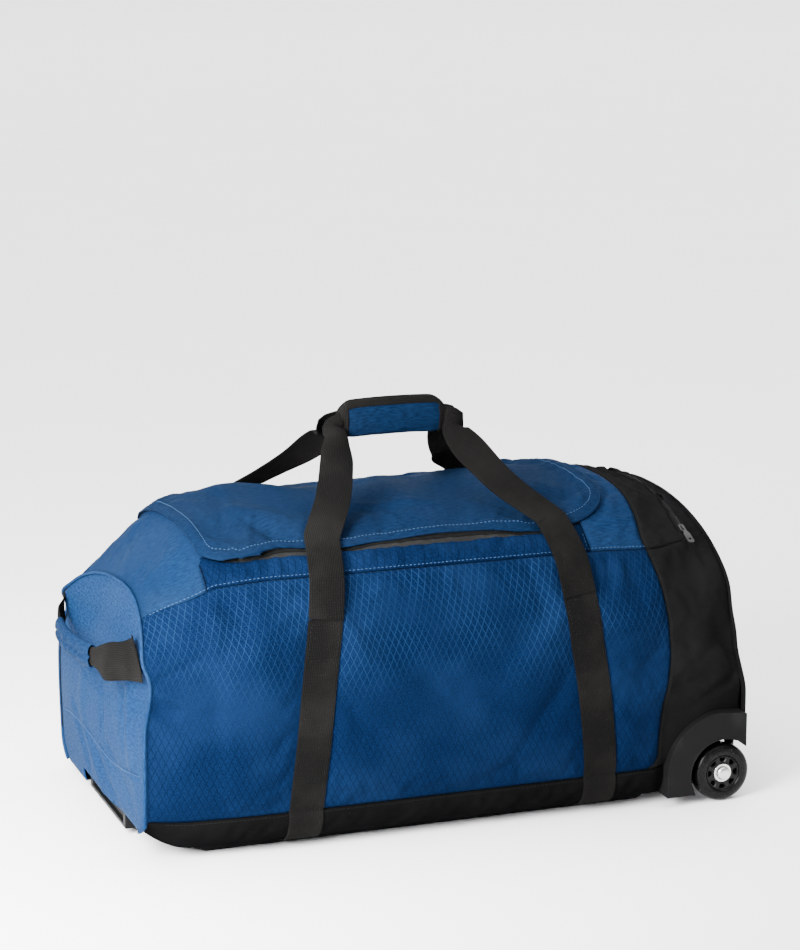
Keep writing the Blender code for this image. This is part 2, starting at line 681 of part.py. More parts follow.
def carry_loop(name, side):
    """One free loop of webbing from its two sewn ends up to the grip, and its half of the grip."""
    sewn = STRAP_SEWN_T if side < 0 else 1 - STRAP_SEWN_T
    start = skin_point(curve_value(STRAP_X, STRAP_SEWN_T), sewn, LOOP_AXIS_LIFT)
    pivot = add_pivot(f"{name}_loop_axis", (0, start.y, start.z))
    facing = Vector((0, side, 0))
    leg = []
    for k in range(9):
        t = lerp(STRAP_SEWN_T + STRAP_END_GAP, LOOP_TOP_T, k / 8)
        leg.append(strap_sample(side, -1, t, WEBBING_LIFT + LOOP_CLEARANCE * smoothstep(k / 4)))
    last, normal, width = leg[-1]
    route = [last] + [Vector((-x, side * y, z)) for x, y, z in LOOP_ROUTE]
    route.append(Vector((-LOOP_IN_GRIP_X, side * LOOP_IN_GRIP_Y, GRIP_Z)))
    free = smooth_path(route, 3)
    for k, point in enumerate(free[1:], 1):
        s = k / (len(free) - 1)
        pinched = lerp(width, PINCHED_WIDTH, smoothstep(1.5 * s - 0.5))
        leg.append((point, normal.lerp(facing, smoothstep(s)), pinched))
    mirror = [(Vector((-p.x, p.y, p.z)), Vector((-n.x, n.y, n.z)), w) for p, n, w in reversed(leg)]
    middle = [(Vector((0, side * LOOP_IN_GRIP_Y, GRIP_Z)), facing, PINCHED_WIDTH)]
    ribbon(f"{name}_carry_strap", leg + middle + mirror, "webbing", WEBBING, pivot)

    section = []
    for angle in (math.radians(lerp(-90, 90, k / 10)) for k in range(11)):
        out = GRIP_SPLIT + GRIP_HALF_DEPTH * math.cos(angle) ** 0.6
        up = GRIP_HALF_HEIGHT * math.copysign(abs(math.sin(angle)) ** 0.8, math.sin(angle))
        section.append((side * out, GRIP_Z + up))
    rows = [[Vector((x, y, z)) for y, z in section] for x in (-GRIP_HALF_LENGTH, GRIP_HALF_LENGTH)]
    sheet(f"{name}_grip_half", rows, "ripstop", GRIP_WALL, pivot, outward_from=(0, 0, GRIP_Z))


def grab_handle():
    """The end handle: two sewn tabs, and the loop with its sleeve that lifts about them."""
    def width(y):
        return lerp(GRAB_NARROW, WEBBING_WIDTH, smoothstep((abs(y) - SLEEVE_HALF_LENGTH) / 0.08))

    route = smooth_path([Vector(p) for p in GRAB_ROUTE], 6)
    route += [Vector((p.x, -p.y, p.z)) for p in reversed(route[:-1])]
    samples = [(p, Vector((-1, 0, 0)), width(p.y)) for p in route]
    for name, side in (("front", -1), ("back", 1)):
        tab = [s for s in samples if side * s[0].y > GRAB_TAB_Y]
        ribbon(f"grab_handle_{name}_tab", tab, "webbing", WEBBING)
    pivot = add_pivot("grab_handle_axis", (HANDLE_AXIS_X, 0, HANDLE_AXIS_Z))
    loop = [s for s in samples if abs(s[0].y) < GRAB_LOOP_Y]
    ribbon("grab_handle_webbing", loop, "webbing", WEBBING, pivot)
    sleeve(pivot, [p for p in route if abs(p.y) < SLEEVE_HALF_LENGTH])


def sleeve(pivot, route):
    """The cloth tube round the middle of the grab handle."""
    wide = 12
    section = []
    for angle in (math.tau * k / wide for k in range(wide)):
        up = math.copysign(abs(math.sin(angle)) ** 0.7, math.sin(angle))
        section.append(Vector((SLEEVE_HALF_DEPTH * math.cos(angle), 0, SLEEVE_HALF_HEIGHT * up)))
    points = [p + offset for p in route for offset in section]
    faces = [(j * wide + i, j * wide + (i + 1) % wide, (j + 1) * wide + (i + 1) % wide, (j + 1) * wide + i)
             for j in range(len(route) - 1) for i in range(wide)]
    origin = world_of(pivot)
    mesh = mesh_of("sleeve", points, faces, origin)
    flat_shell("cloth", 0.0012, add_object("grab_handle_sleeve", mesh, "ripstop", origin, pivot))


# --- wheels ---------------------------------------------------------------------------------------


def housing_outline(grow=0.0):
    """The wheel housing seen from the front, as (x, z), without its wheel arch."""
    across = HOUSING_CREST_X - HOUSING_LEFT + grow
    up = HOUSING_TOP - HOUSING_SPRING_Z + grow
    rounding = [(HOUSING_CREST_X - across * math.cos(a), HOUSING_SPRING_Z + up * math.sin(a))
                for a in (math.radians(10 * k) for k in range(10))]
    low = (HOUSING_LEFT - grow, HOUSING_LOW - grow)
    return [low, *rounding, (HOUSING_RIGHT + grow, HOUSING_RIGHT_TOP + grow)]


def wheel_housings():
    """Moulded corners with the wheel arch open at the outer face, below and behind."""
    arch_left = math.pi - math.asin((HOUSING_LOW - WHEEL_Z) / WELL_RADIUS)
    arch_right = math.radians(68)
    arch = [(WHEEL_X + WELL_RADIUS * math.cos(a), WHEEL_Z + WELL_RADIUS * math.sin(a))
            for a in (lerp(arch_right, arch_left, k / 16) for k in range(17))]
    outline = housing_outline() + [(HOUSING_RIGHT, HOUSING_NOTCH)] + arch
    count = len(outline)
    for name, side in (("front", -1), ("back", 1)):
        points = [Vector((x, side * y, z)) for y in (HOUSING_OUTER_Y, HOUSING_INNER_Y) for x, z in outline]
        faces = [tuple(range(count))]
        faces += [(k, count + k, count + (k + 1) % count, (k + 1) % count) for k in range(count)]
        if side < 0:
            faces = [tuple(reversed(f)) for f in faces]
        flat_shell("wall", HOUSING_WALL, add_object(f"{name}_wheel_housing", mesh_of(name, points, faces),
                                                    "plastic"))
        seat = circle_points(AXLE_RADIUS + RUNNING_GAP, 24, (WHEEL_X, WHEEL_Z))
        plate(f"{name}_axle_bracket", [BRACKET_OUTLINE, seat], BRACKET_THICKNESS, STANDING_XZ,
              (0, side * BRACKET_Y, 0), "steel")


def hub_windows():
    windows = []
    for middle in (math.tau * k / WINDOW_COUNT for k in range(WINDOW_COUNT)):
        turns = [middle + math.radians(d) for d in (-WINDOW_HALF_DEG, 0, WINDOW_HALF_DEG)]
        corners = [(WINDOW_OUTER, a) for a in turns] + [(WINDOW_INNER, a) for a in reversed(turns)]
        windows.append([(r * math.cos(a), r * math.sin(a)) for r, a in corners])
    return windows


def wheels():
    """Each wheel turns on a bolt held by its bracket: tyre, hub with windows, and its bearing ring."""
    half, hub_half = WHEEL_WIDTH / 2, HUB_WIDTH / 2
    shoulder = [(WHEEL_RADIUS, half * 0.30), (WHEEL_RADIUS - 0.0012, half * 0.62),
                (WHEEL_RADIUS - 0.0045, half * 0.90), (WHEEL_RADIUS - 0.0080, half),
                (HUB_RADIUS + RUNNING_GAP, half * 0.92)]
    tyre = [*reversed(shoulder), *((r, -y) for r, y in shoulder)]
    bore, ring_half = AXLE_RADIUS + RUNNING_GAP, hub_half - RUNNING_GAP
    race = [(bore, ring_half), (BEARING_RADIUS, ring_half), (BEARING_RADIUS, -ring_half), (bore, -ring_half)]
    hub = [circle_points(HUB_RADIUS, 36), circle_points(BEARING_RADIUS + 0.0004, 24), *hub_windows()]
    for name, side in (("front", -1), ("back", 1)):
        centre = (WHEEL_X, side * WHEEL_Y, WHEEL_Z)
        pivot = add_pivot(f"{name}_wheel_axis", centre)
        turned(f"{name}_tyre", tyre, "tyre", centre, pivot, 36)
        plate(f"{name}_hub", hub, HUB_WIDTH, STANDING_XZ, centre, "hub", pivot)
        turned(f"{name}_wheel_bearing", race, "steel", centre, pivot, 24)
        axle(name, side)


def axle(name, side):
    """The axle bolt: domed head outside the wheel, shoulder behind it, end inside the bracket."""
    head = [(0.0, 0.0150), (0.0042, 0.0146), (0.0068, 0.0134), (0.0075, 0.0124), (0.0075, 0.0110)]
    collar_near, collar_far, tip = -0.0130, -0.0327, -0.0420
    profile = [*head, (AXLE_RADIUS, 0.0110), (AXLE_RADIUS, collar_near), (0.0062, collar_near),
               (0.0062, collar_far), (AXLE_RADIUS, collar_far), (AXLE_RADIUS, tip), (0.0, tip)]
    if side < 0:
        profile = [(r, -y) for r, y in reversed(profile)]
    turned(f"{name}_axle", profile, "steel", (WHEEL_X, side * WHEEL_Y, WHEEL_Z), None, 24)


def kick_plate():
    """The moulded plate that turns up between the two housings."""
    corner = [(WHEEL_X + KICK_RADIUS * math.sin(a), BASE_Z + KICK_RADIUS * (1 - math.cos(a)))
              for a in (math.radians(15 * k) for k in range(7))]
    path = [(HOOD_X + 0.0012, BASE_Z), (0.300, BASE_Z), *corner, (0.3725, 0.072), (0.3740, KICK_TOP)]
    rows = [[Vector((x, y, z)) for x, z in path] for y in (-KICK_HALF_WIDTH, 0.0, KICK_HALF_WIDTH)]
    sheet("kick_plate", rows, "plastic", HOUSING_WALL, outward_from=(0.30, 0, 0.08))


# --- trolley handle -------------------------------------------------------------------------------


def rounded_rectangle(width, height, corner):
    """A rectangle with cut corners, as (x, y) points round the origin."""
    half_w, half_h = width / 2, height / 2
    points = []
    for sx, sy in ((1, 1), (-1, 1), (-1, -1), (1, -1)):
        pair = [(sx * half_w, sy * (half_h - corner)), (sx * (half_w - corner), sy * half_h)]
        points += pair if sx * sy > 0 else reversed(pair)
    return points


def tube_pair(stage, outside, start, end, parent=None):
    """Two rectangular tubes along X, one on each side of the middle."""
    inside = [side - 2 * TUBE_WALL for side in outside]
    loops = [rounded_rectangle(*outside, 0.0015), rounded_rectangle(*inside, 0.0010)]
    for name, side in (("front", -1), ("back", 1)):
        centre = ((start + end) / 2, side * TUBE_Y, TUBE_Z)
        plate(f"trolley_{stage}_tube_{name}", loops, end - start, STANDING_YZ, centre, "aluminium", parent)


def trolley():
    """Three-stage handle under the base board, with its bezel in the handle end."""
    middle_size = tuple(side - TUBE_STEP for side in OUTER_TUBE)
    inner_size = tuple(side - TUBE_STEP for side in middle_size)
    tube_pair("outer", OUTER_TUBE, BEZEL_RIGHT + 0.0005, TUBE_END)
    box("trolley_bracket", (TUBE_END + 0.0005, -0.066, RECESS_LOW), (TUBE_END + 0.0105, 0.066, RECESS_HIGH),
        "plastic", bevel=0.001, segments=1)

    bezel = box("trolley_bezel", (BEZEL_LEFT, -BEZEL_HALF_WIDTH, BASE_Z),
                (BEZEL_RIGHT, BEZEL_HALF_WIDTH, BEZEL_TOP), "plastic")
    cut(bezel, box_cutter("grip_recess", (-OUTSIDE, -RECESS_HALF_WIDTH, RECESS_LOW),
                          (-0.3320, RECESS_HALF_WIDTH, RECESS_HIGH)))
    hole_width, hole_height = (side / 2 - 0.0008 for side in OUTER_TUBE)
    for name, y in (("front", -TUBE_Y), ("back", TUBE_Y)):
        low = (-0.3400, y - hole_width, TUBE_Z - hole_height)
        high = (-0.3200, y + hole_width, TUBE_Z + hole_height)
        cut(bezel, box_cutter(f"tube_hole_{name}", low, high))

    middle_pivot = add_pivot("trolley_middle_slide", (-0.3310, 0, TUBE_Z))
    tube_pair("middle", middle_size, -0.3315, TUBE_END - 0.0200, middle_pivot)
    inner_pivot = add_pivot("trolley_inner_slide", (-0.3330, 0, TUBE_Z), middle_pivot)
    tube_pair("inner", inner_size, -0.3330, TUBE_END - 0.0350, inner_pivot)
    grip = box("trolley_grip", (-0.3495, -TROLLEY_GRIP_HALF_WIDTH, RECESS_LOW + 0.001),
               (-0.3335, TROLLEY_GRIP_HALF_WIDTH, RECESS_HIGH - 0.001), "plastic", inner_pivot)
    cut(grip, box_cutter("button_pocket", (-OUTSIDE, -0.0110, 0.0168), (-0.3435, 0.0110, 0.0242)))
    box("trolley_button", (-0.3505, -0.0106, 0.0172), (-0.3455, 0.0106, 0.0238), "hub", inner_pivot)


# --- zip pulls ------------------------------------------------------------------------------------


def zip_slider(name, centre, along, out, parent):
    """A slider's body with its bridge, lying on the tape: along is the zip's direction, out its normal."""
    across = out.cross(along).normalized()
    turn = Matrix((along, across, out)).transposed().to_4x4()
    outline = [(0.0060, 0.0022), (0.0040, 0.0036), (-0.0040, 0.0036), (-0.0060, 0.0026),
               (-0.0060, -0.0026), (-0.0040, -0.0036), (0.0040, -0.0036), (0.0060, -0.0022)]
    mesh = mesh_from_curve(name, outline_curve(name, [outline], 0.0012))
    bridge = bpy.data.meshes.new("bridge")
    shape = bmesh.new()
    bmesh.ops.create_cube(shape, size=1.0)
    bmesh.ops.scale(shape, vec=(0.0070, 0.0016, 0.0020), verts=shape.verts)
    bmesh.ops.translate(shape, vec=(0, 0, 0.0015), verts=shape.verts)
    shape.to_mesh(bridge)
    shape.free()
    origin = world_of(parent)
    for piece in (mesh, bridge):
        piece.transform(turn)
        piece.transform(Matrix.Translation(centre - origin))
    slider = add_object(name, mesh, "zip_metal", origin, parent)
    handle = cutter(f"{name}_bridge", bridge, origin)
    join = slider.modifiers.new("bridge", "BOOLEAN")
    join.operation = "UNION"
    join.object = handle


def zip_pulls():
    """The slider on the straight front run of the main zip, and the end pocket's slider with its pull."""
    tape_t = LID_FRONT_T - (ZIP_EDGE + ZIP_TAPE / 2) / CLOTH_PER_T
    centre = Vector((MAIN_SLIDER_X, *skin_point(0, tape_t, 0.0008).yz))
    pivot = add_pivot("main_slider_slide", centre)
    zip_slider("main_zip_slider", centre, Vector((-1, 0, 0)), skin_normal(0, tape_t), pivot)

    arc_centre = pocket_arc(0, -POCKET_ARC_RADIUS)
    pivot = add_pivot("pocket_slider_arc", arc_centre)
    out = arc_normal(-POCKET_SLIDER_DEG)
    along = Vector((0, out.z, -out.y))
    centre = pocket_arc(-POCKET_SLIDER_DEG, 0.0024)
    zip_slider("pocket_zip_slider", centre, along, out, pivot)

    hinge = centre - along * (PULL_START - 0.0006) + out * PULL_LIFT
    tab_pivot = add_pivot("pocket_pull_hinge", hinge, pivot)
    middle, reach = (PULL_START + PULL_END) / 2, (PULL_END - PULL_START) / 2
    half = [(-reach, PULL_HALF_WIDTH / 2), (-reach + 0.006, PULL_HALF_WIDTH),
            (reach - 0.002, PULL_HALF_WIDTH), (reach, PULL_HALF_WIDTH / 2)]
    loop = half + [(x, -y) for x, y in reversed(half)]
    hole = circle_points(PULL_HALF_WIDTH / 2, 10, (reach - 0.0062, 0.0))
    mesh = mesh_from_curve("pull", outline_curve("pull", [loop, hole], 0.0007))
    down = -along
    turn = Matrix((down, out.cross(down), out)).transposed().to_4x4()
    mesh.transform(turn)
    mesh.transform(Matrix.Translation(centre + down * middle + out * PULL_LIFT - hinge))
    add_object("pocket_zip_pull", mesh, "zip_metal", hinge, tab_pivot)


# --- assembly -------------------------------------------------------------------------------------


def cutters_for_panels():
    """Room for the wheel housings, the kick plate and the trolley's bezel in the cloth."""
    clear, depth = CUT_CLEARANCE, 0.040
    grown = housing_outline(clear) + [(OUTSIDE, HOUSING_RIGHT_TOP + clear), (OUTSIDE, -0.010),
                                      (HOUSING_LEFT - clear, -0.010)]
    for name, side in (("front", -1), ("back", 1)):
        mesh = mesh_from_curve(name, outline_curve(name, [grown], depth))
        mesh.transform(STANDING_XZ)
        cutter(f"{name}_housing_cutter", mesh, (0, side * (0.1580 + depth), 0))
    kick_side = KICK_HALF_WIDTH + 0.002
    box_cutter("kick_cutter", (0.2500, -kick_side, -0.010), (OUTSIDE, kick_side, KICK_TOP + clear))
    bezel_side = BEZEL_HALF_WIDTH + clear
    box_cutter("bezel_cutter", (-OUTSIDE, -bezel_side, -0.010),
               (BEZEL_RIGHT + clear, bezel_side, BEZEL_TOP + clear))


def build():
    cutters_for_panels()
    side_panels()
    top_panels()
    hood_top()
    left = end_panel("left_end_panel", left_edge, LEFT_BULGE, "plain_blue", -1)
    cut(left, bpy.data.objects["bezel_cutter"])
    right = end_panel("right_end_panel", right_edge, RIGHT_BULGE, "black_cloth", 1)
    for tool in ("front_housing_cutter", "back_housing_cutter", "kick_cutter"):
        cut(right, bpy.data.objects[tool])
    underside()
    pocket_partition()
    kick_plate()
    lid()
    lower_straps()
    carry_loop("front", -1)
    carry_loop("back", 1)
    grab_handle()
    wheel_housings()
    wheels()
    trolley()
    zip_pulls()


for old in list(bpy.data.objects):
    bpy.data.objects.remove(old)
bag = bpy.data.collections.new("rolling_duffel_bag")
cutters = bpy.data.collections.new("cutters")
bpy.context.scene.collection.children.link(bag)
bpy.context.scene.collection.children.link(cutters)
build()
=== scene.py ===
"""Looks for the rolling duffel bag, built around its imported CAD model.

Every cloth panel round the body lies on one skin, skin(x, t): x runs along the bag and t around it,
from the front bottom edge at 0 over the crest at 0.5 to the back bottom edge at 1. A cloth simulation
gives one field of folds on that skin, which the panels, seams and straps share.
"""

import math

import bmesh
import bpy
import numpy as np
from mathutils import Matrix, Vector


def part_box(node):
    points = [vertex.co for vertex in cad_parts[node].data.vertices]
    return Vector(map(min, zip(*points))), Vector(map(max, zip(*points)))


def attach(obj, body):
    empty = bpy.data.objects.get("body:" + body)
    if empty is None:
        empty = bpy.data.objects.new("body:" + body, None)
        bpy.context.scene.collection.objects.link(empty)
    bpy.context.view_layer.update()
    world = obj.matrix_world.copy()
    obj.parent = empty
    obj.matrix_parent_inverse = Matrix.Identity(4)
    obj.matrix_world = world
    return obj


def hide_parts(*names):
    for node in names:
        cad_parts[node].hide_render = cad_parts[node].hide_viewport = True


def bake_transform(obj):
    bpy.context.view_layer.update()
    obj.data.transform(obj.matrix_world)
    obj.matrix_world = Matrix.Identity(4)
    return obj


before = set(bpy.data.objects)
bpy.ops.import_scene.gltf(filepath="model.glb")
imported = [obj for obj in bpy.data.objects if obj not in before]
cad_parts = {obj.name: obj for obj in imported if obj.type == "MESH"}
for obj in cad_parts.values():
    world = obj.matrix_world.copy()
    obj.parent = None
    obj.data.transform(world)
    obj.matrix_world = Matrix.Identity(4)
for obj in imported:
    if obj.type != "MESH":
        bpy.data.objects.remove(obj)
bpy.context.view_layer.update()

# --- driving dimensions in metres: the skin, as in the CAD model ----------------------------------

BAG_LEFT, BAG_RIGHT = -0.352, 0.366
LEFT_LEAN, RIGHT_LEAN = 0.017, 0.030
BASE_Z = 0.009
CORNER_RADIUS = 0.035
SIDE_BULGE = 0.006
CREST = ((-0.352, 0.268), (-0.335, 0.288), (-0.300, 0.325), (-0.265, 0.355), (-0.200, 0.366),
         (0.170, 0.367), (0.240, 0.361), (0.300, 0.351), (0.335, 0.335), (0.366, 0.303))
SHOULDER = ((-0.352, 0.205), (-0.265, 0.210), (-0.200, 0.212), (0.170, 0.212), (0.300, 0.200),
            (0.366, 0.185))
HALF_WIDTH = ((-0.352, 0.190), (-0.300, 0.197), (-0.200, 0.203), (0.170, 0.203), (0.300, 0.197),
              (0.366, 0.184))
ROUNDNESS = ((-0.352, 2.8), (-0.265, 2.45), (-0.200, 2.4), (0.170, 2.4), (0.366, 2.5))
BOTTOM_SHARE, SIDE_SHARE = 0.12, 0.48
END_CENTRE_Z = 0.15
METRES_PER_T = 0.95

# --- where the handle end departs from the CAD model to follow the photograph ---------------------

HANDLE_END_OUT = 0.0075     # how far the handle end's seam stands out past BAG_LEFT
PINCH_DEPTH, PINCH_T, PINCH_WIDTH = 0.0095, 0.238, 0.036    # where the end handle pulls that seam in
SHOULDER_SAG = 0.015
FRONT_CORNER_RAISED, BACK_CORNER_RAISED = 0.0235, 0.0060

# --- seams, lid, webbing and moulded parts --------------------------------------------------------

BAND_T = 0.065
EDGE_GAP = 0.0010           # how far the panels stop short of the two end seams
SLOPE_SEAM_X, RIGHT_SEAM_X = -0.2775, 0.1760
SEAM = 0.0004               # half of the gap between two sewn panels
SIDE_SEAM = ((-0.352, 0.398), (-0.344, 0.391), (-0.315, 0.366), (-0.278, 0.3485), (-0.219, 0.3430),
             (-0.125, 0.3415), (0.165, 0.3405), (0.256, 0.3440), (0.288, 0.354), (0.318, 0.367),
             (0.353, 0.392), (0.366, 0.398))
HOOD_SEAM = ((0.065, 0.2385), (0.072, 0.2480), (0.085, 0.2525), (0.111, 0.2530), (0.144, 0.2560),
             (0.184, 0.2630), (0.223, 0.2665), (0.288, 0.2580), (0.332, 0.2490), (0.359, 0.2455),
             (0.388, 0.2490), (0.420, 0.2530), (0.450, 0.2560), (0.500, 0.2570))
LID_LEFT, LID_RIGHT = -0.2750, 0.2235
LID_LEFT_CORNER, LID_RIGHT_CORNER = 0.036, 0.072
LID_HEM = ((-0.280, 0.3800), (-0.234, 0.3730), (-0.205, 0.3790), (-0.187, 0.3825), (-0.159, 0.3805),
           (-0.113, 0.3760), (-0.070, 0.3815), (0.039, 0.3825), (0.081, 0.3800), (0.116, 0.3745),
           (0.156, 0.3805), (0.240, 0.3830))
LID_HINGE_T = 0.617
ZIP_LINE = ((-0.2775, 0.4050), (-0.262, 0.3880), (-0.245, 0.3760), (-0.225, 0.3716), (0.130, 0.3716),
            (0.150, 0.3750), (0.1756, 0.3830))
POCKET_ZIP_X, POCKET_ZIP_HALF = 0.305, 0.0050
POCKET_ARC_RADIUS, POCKET_ARC_TOP, POCKET_ARC_DEG = 0.324, 0.3468, 28.5

WEBBING_WIDTH = 0.040
STRAP_SEWN_T = 0.2850
STRAP_X = ((0.020, 0.1785), (0.065, 0.1775), (0.150, 0.1700), (0.235, 0.1600), (0.285, 0.1520),
           (0.345, 0.1440), (0.400, 0.1360))
LEGS = {("front", "left"): ((-0.1120, 0.105, 0.377), (-0.0940, 0.066, 0.4090), (-0.0815, 0.030, 0.4290)),
        ("front", "right"): ((0.0985, 0.105, 0.377), (0.0805, 0.066, 0.4010), (0.0635, 0.030, 0.4290)),
        ("back", "left"): ((-0.1200, 0.105, 0.3660), (-0.0960, 0.060, 0.3950), (-0.0765, 0.030, 0.4240)),
        ("back", "right"): ((0.1020, 0.092, 0.370), (0.0860, 0.055, 0.3880), (0.0680, 0.030, 0.4190))}
GRIP_X, GRIP_Z, GRIP_HALF_LENGTH = -0.0045, 0.4435, 0.066
GRIP_HALF_DEPTH, GRIP_HALF_HEIGHT = 0.0125, 0.0212
GRAB_ROUTE = ((-0.3570, -0.1935, 0.234), (-0.3640, -0.155, 0.227), (-0.3740, -0.118, 0.2185),
              (-0.3865, -0.066, 0.2120), (-0.3935, 0.0, 0.2095), (-0.3880, 0.066, 0.2065),
              (-0.3770, 0.112, 0.2055), (-0.3665, 0.148, 0.2055), (-0.3560, 0.180, 0.2065))
GRAB_FRONT_WIDTH, GRAB_BACK_WIDTH, GRAB_MIDDLE_WIDTH = 0.0440, 0.0300, 0.0210
SLEEVE_HALF_LENGTH = 0.0740
WHEEL_X, WHEEL_Z, WHEEL_RADIUS, WHEEL_Y = 0.334, 0.035, 0.035, 0.1945
WHEEL_WIDTH = 0.024
WELL_RADIUS = 0.0426
HOUSING_OUTER_Y, HOUSING_INNER_Y = 0.2070, 0.1615
HOUSING_LEFT, HOUSING_RIGHT = 0.2625, 0.3625
HOUSING_LOW, HOUSING_TOP = 0.0125, 0.1095
HOUSING_CREST_X, HOUSING_SPRING_Z = 0.331, 0.039
HOUSING_RIGHT_TOP, HOUSING_NOTCH = 0.1055, 0.0650
MOUTH_GAP = 0.0006          # room between the trolley's mouth and the cloth round it
PARTITION_X, PARTITION_Z, PARTITION_SHARE = 0.2614, 0.190, 0.955
HOUSING_COVER = 0.006       # how far inside the housing's outline the cloth ends
WELL_WALL_RIGHT = 0.3500
MOUTH_FRONT, MOUTH_BACK = -0.3535, -0.3260
MOUTH_OUTER, MOUTH_INNER = (0.0812, 0.0080, 0.0332), (0.0700, 0.0125, 0.0285)  # half width, bottom and top
RAIL_START, RAIL_RAMP, RAIL_END, RAIL_Y = -0.300, 0.018, 0.250, 0.156
RAIL_LOW, RAIL_TOP = 0.0004, 0.0100
TAPE_HALF, TAPE_DEPTH = 0.0055, 0.0023      # seam tapes, and how far they lie under the cloth's face

# --- looks --------------------------------------------------------------------------------------

CLOTH_STEP = 0.0036         # size of a cloth panel's faces
CLOTH = 0.0016
FIELD_COLUMNS, FIELD_ROWS = 96, 140
FOLD_CAP = 0.0075           # furthest that a fold may move from the skin
SLACK = 0.022               # how much longer the simulated cloth is than the skin under it
SIMULATED_FRAMES = 20
STITCH_PITCH, STITCH_LENGTH = 0.0048, 0.0029

SIDES = (("front", -1), ("back", 1))
TURNS = (("front", lambda t: t), ("back", lambda t: 1 - t))

# --- numbers on the skin --------------------------------------------------------------------------


def curve_value(points, x):
    """A smooth curve through the points that never overshoots them (monotone cubic)."""
    px, py = (np.array(c, float) for c in zip(*points))
    x = np.clip(np.asarray(x, float), px[0], px[-1])
    span = np.diff(px)
    slope = np.diff(py) / span
    product = slope[:-1] * slope[1:]
    total = np.where(product > 0, slope[:-1] + slope[1:], 1.0)
    inner = np.where(product > 0, 2 * product / total, 0.0)
    tangent = np.concatenate((slope[:1], inner, slope[-1:]))
    i = np.clip(np.searchsorted(px, x, side="right") - 1, 0, len(px) - 2)
    s = (x - px[i]) / span[i]
    low = py[i] * (1 + 2 * s) * (1 - s) ** 2 + span[i] * tangent[i] * s * (1 - s) ** 2
    return low + py[i + 1] * s * s * (3 - 2 * s) + span[i] * tangent[i + 1] * s * s * (s - 1)


def smoothstep(s):
    s = np.clip(s, 0.0, 1.0)
    return s * s * (3 - 2 * s)


def lerp(a, b, s):
    return a + (b - a) * s


def bump(distance, width):
    return np.exp(-(distance / width) ** 2)


def unit(vectors):
    return vectors / np.maximum(np.linalg.norm(vectors, axis=-1, keepdims=True), 1e-9)


def settled(points):
    """The handle end's shoulder sags towards the back, and its bottom corners draw up, the front one most."""
    x, y, z = np.moveaxis(points, -1, 0)
    sag = smoothstep((-0.220 - x) / 0.10) * smoothstep((y + 0.12) / 0.24) * smoothstep((z - 0.17) / 0.09)
    near_end = np.clip((-0.300 - x) / 0.055, 0.0, 1.0) ** 2
    corner = near_end * smoothstep((np.abs(y) - 0.060) / 0.020) * smoothstep((0.060 - z) / 0.050)
    raised = np.where(y < 0, FRONT_CORNER_RAISED, BACK_CORNER_RAISED)
    return np.stack((x, y, z - SHOULDER_SAG * sag + raised * corner), axis=-1)


def skin(x, t):
    """Points of the bag's outer surface before folds and seams."""
    x, t = np.broadcast_arrays(np.asarray(x, float), np.asarray(t, float))
    half, shoulder = curve_value(HALF_WIDTH, x), curve_value(SHOULDER, x)
    crest, power = curve_value(CREST, x), 2.0 / curve_value(ROUNDNESS, x)
    s = 2 * np.minimum(t, 1 - t)
    corner_top = BASE_Z + CORNER_RADIUS
    turn = np.clip(s / BOTTOM_SHARE, 0, 1) * math.pi / 2
    up = np.clip((s - BOTTOM_SHARE) / (SIDE_SHARE - BOTTOM_SHARE), 0, 1)
    over = np.clip((s - SIDE_SHARE) / (1 - SIDE_SHARE), 0, 1) * math.pi / 2
    y_low = half - CORNER_RADIUS + CORNER_RADIUS * np.sin(turn)
    y_side = half + SIDE_BULGE * np.sin(math.pi * up)
    y_top = half * np.maximum(np.cos(over), 0.0) ** power
    z_top = shoulder + (crest - shoulder) * np.sin(over) ** power
    low, side = s < BOTTOM_SHARE, s < SIDE_SHARE
    y = np.where(low, y_low, np.where(side, y_side, y_top))
    y = np.where(t > 0.5, y, -y)
    z = np.where(low, corner_top - CORNER_RADIUS * np.cos(turn),
                 np.where(side, lerp(corner_top, shoulder, up), z_top))
    return settled(np.stack((x, y, z), axis=-1))


def skin_normal(x, t):
    dx, dt = 0.002, 0.004
    along = skin(x + dx, t) - skin(x - dx, t)
    around = skin(x, np.minimum(t + dt, 1)) - skin(x, np.maximum(t - dt, 0))
    return unit(np.cross(along, around))


def lean(t):
    """0 on the sides, rising to 1 at the crest."""
    return smoothstep((2 * np.minimum(t, 1 - t) - SIDE_SHARE) / (1 - SIDE_SHARE))


def left_edge(t):
    """The handle end's seam, pinched in where the end handle is sewn into it."""
    side = np.minimum(t, 1 - t)
    pinch = PINCH_DEPTH * bump(side - PINCH_T, PINCH_WIDTH)
    return BAG_LEFT - HANDLE_END_OUT + (LEFT_LEAN + 0.0060) * lean(t) + pinch


def right_edge(t):
    """The wheel end's seam, tucked in above the wheels."""
    side = np.minimum(t, 1 - t)
    tucked = 0.010 * smoothstep((side - 0.165) / 0.07) + 0.006 * bump(side - 0.275, 0.030)
    return BAG_RIGHT - RIGHT_LEAN * lean(t) - tucked


def side_seam(x):
    """The seam between the side panels and the top panels, as t on the front."""
    return curve_value(SIDE_SEAM, x)


def hood_seam(t):
    """x of the seam between the blue panels and the black hood."""
    return curve_value(HOOD_SEAM, np.minimum(t, 1 - t))


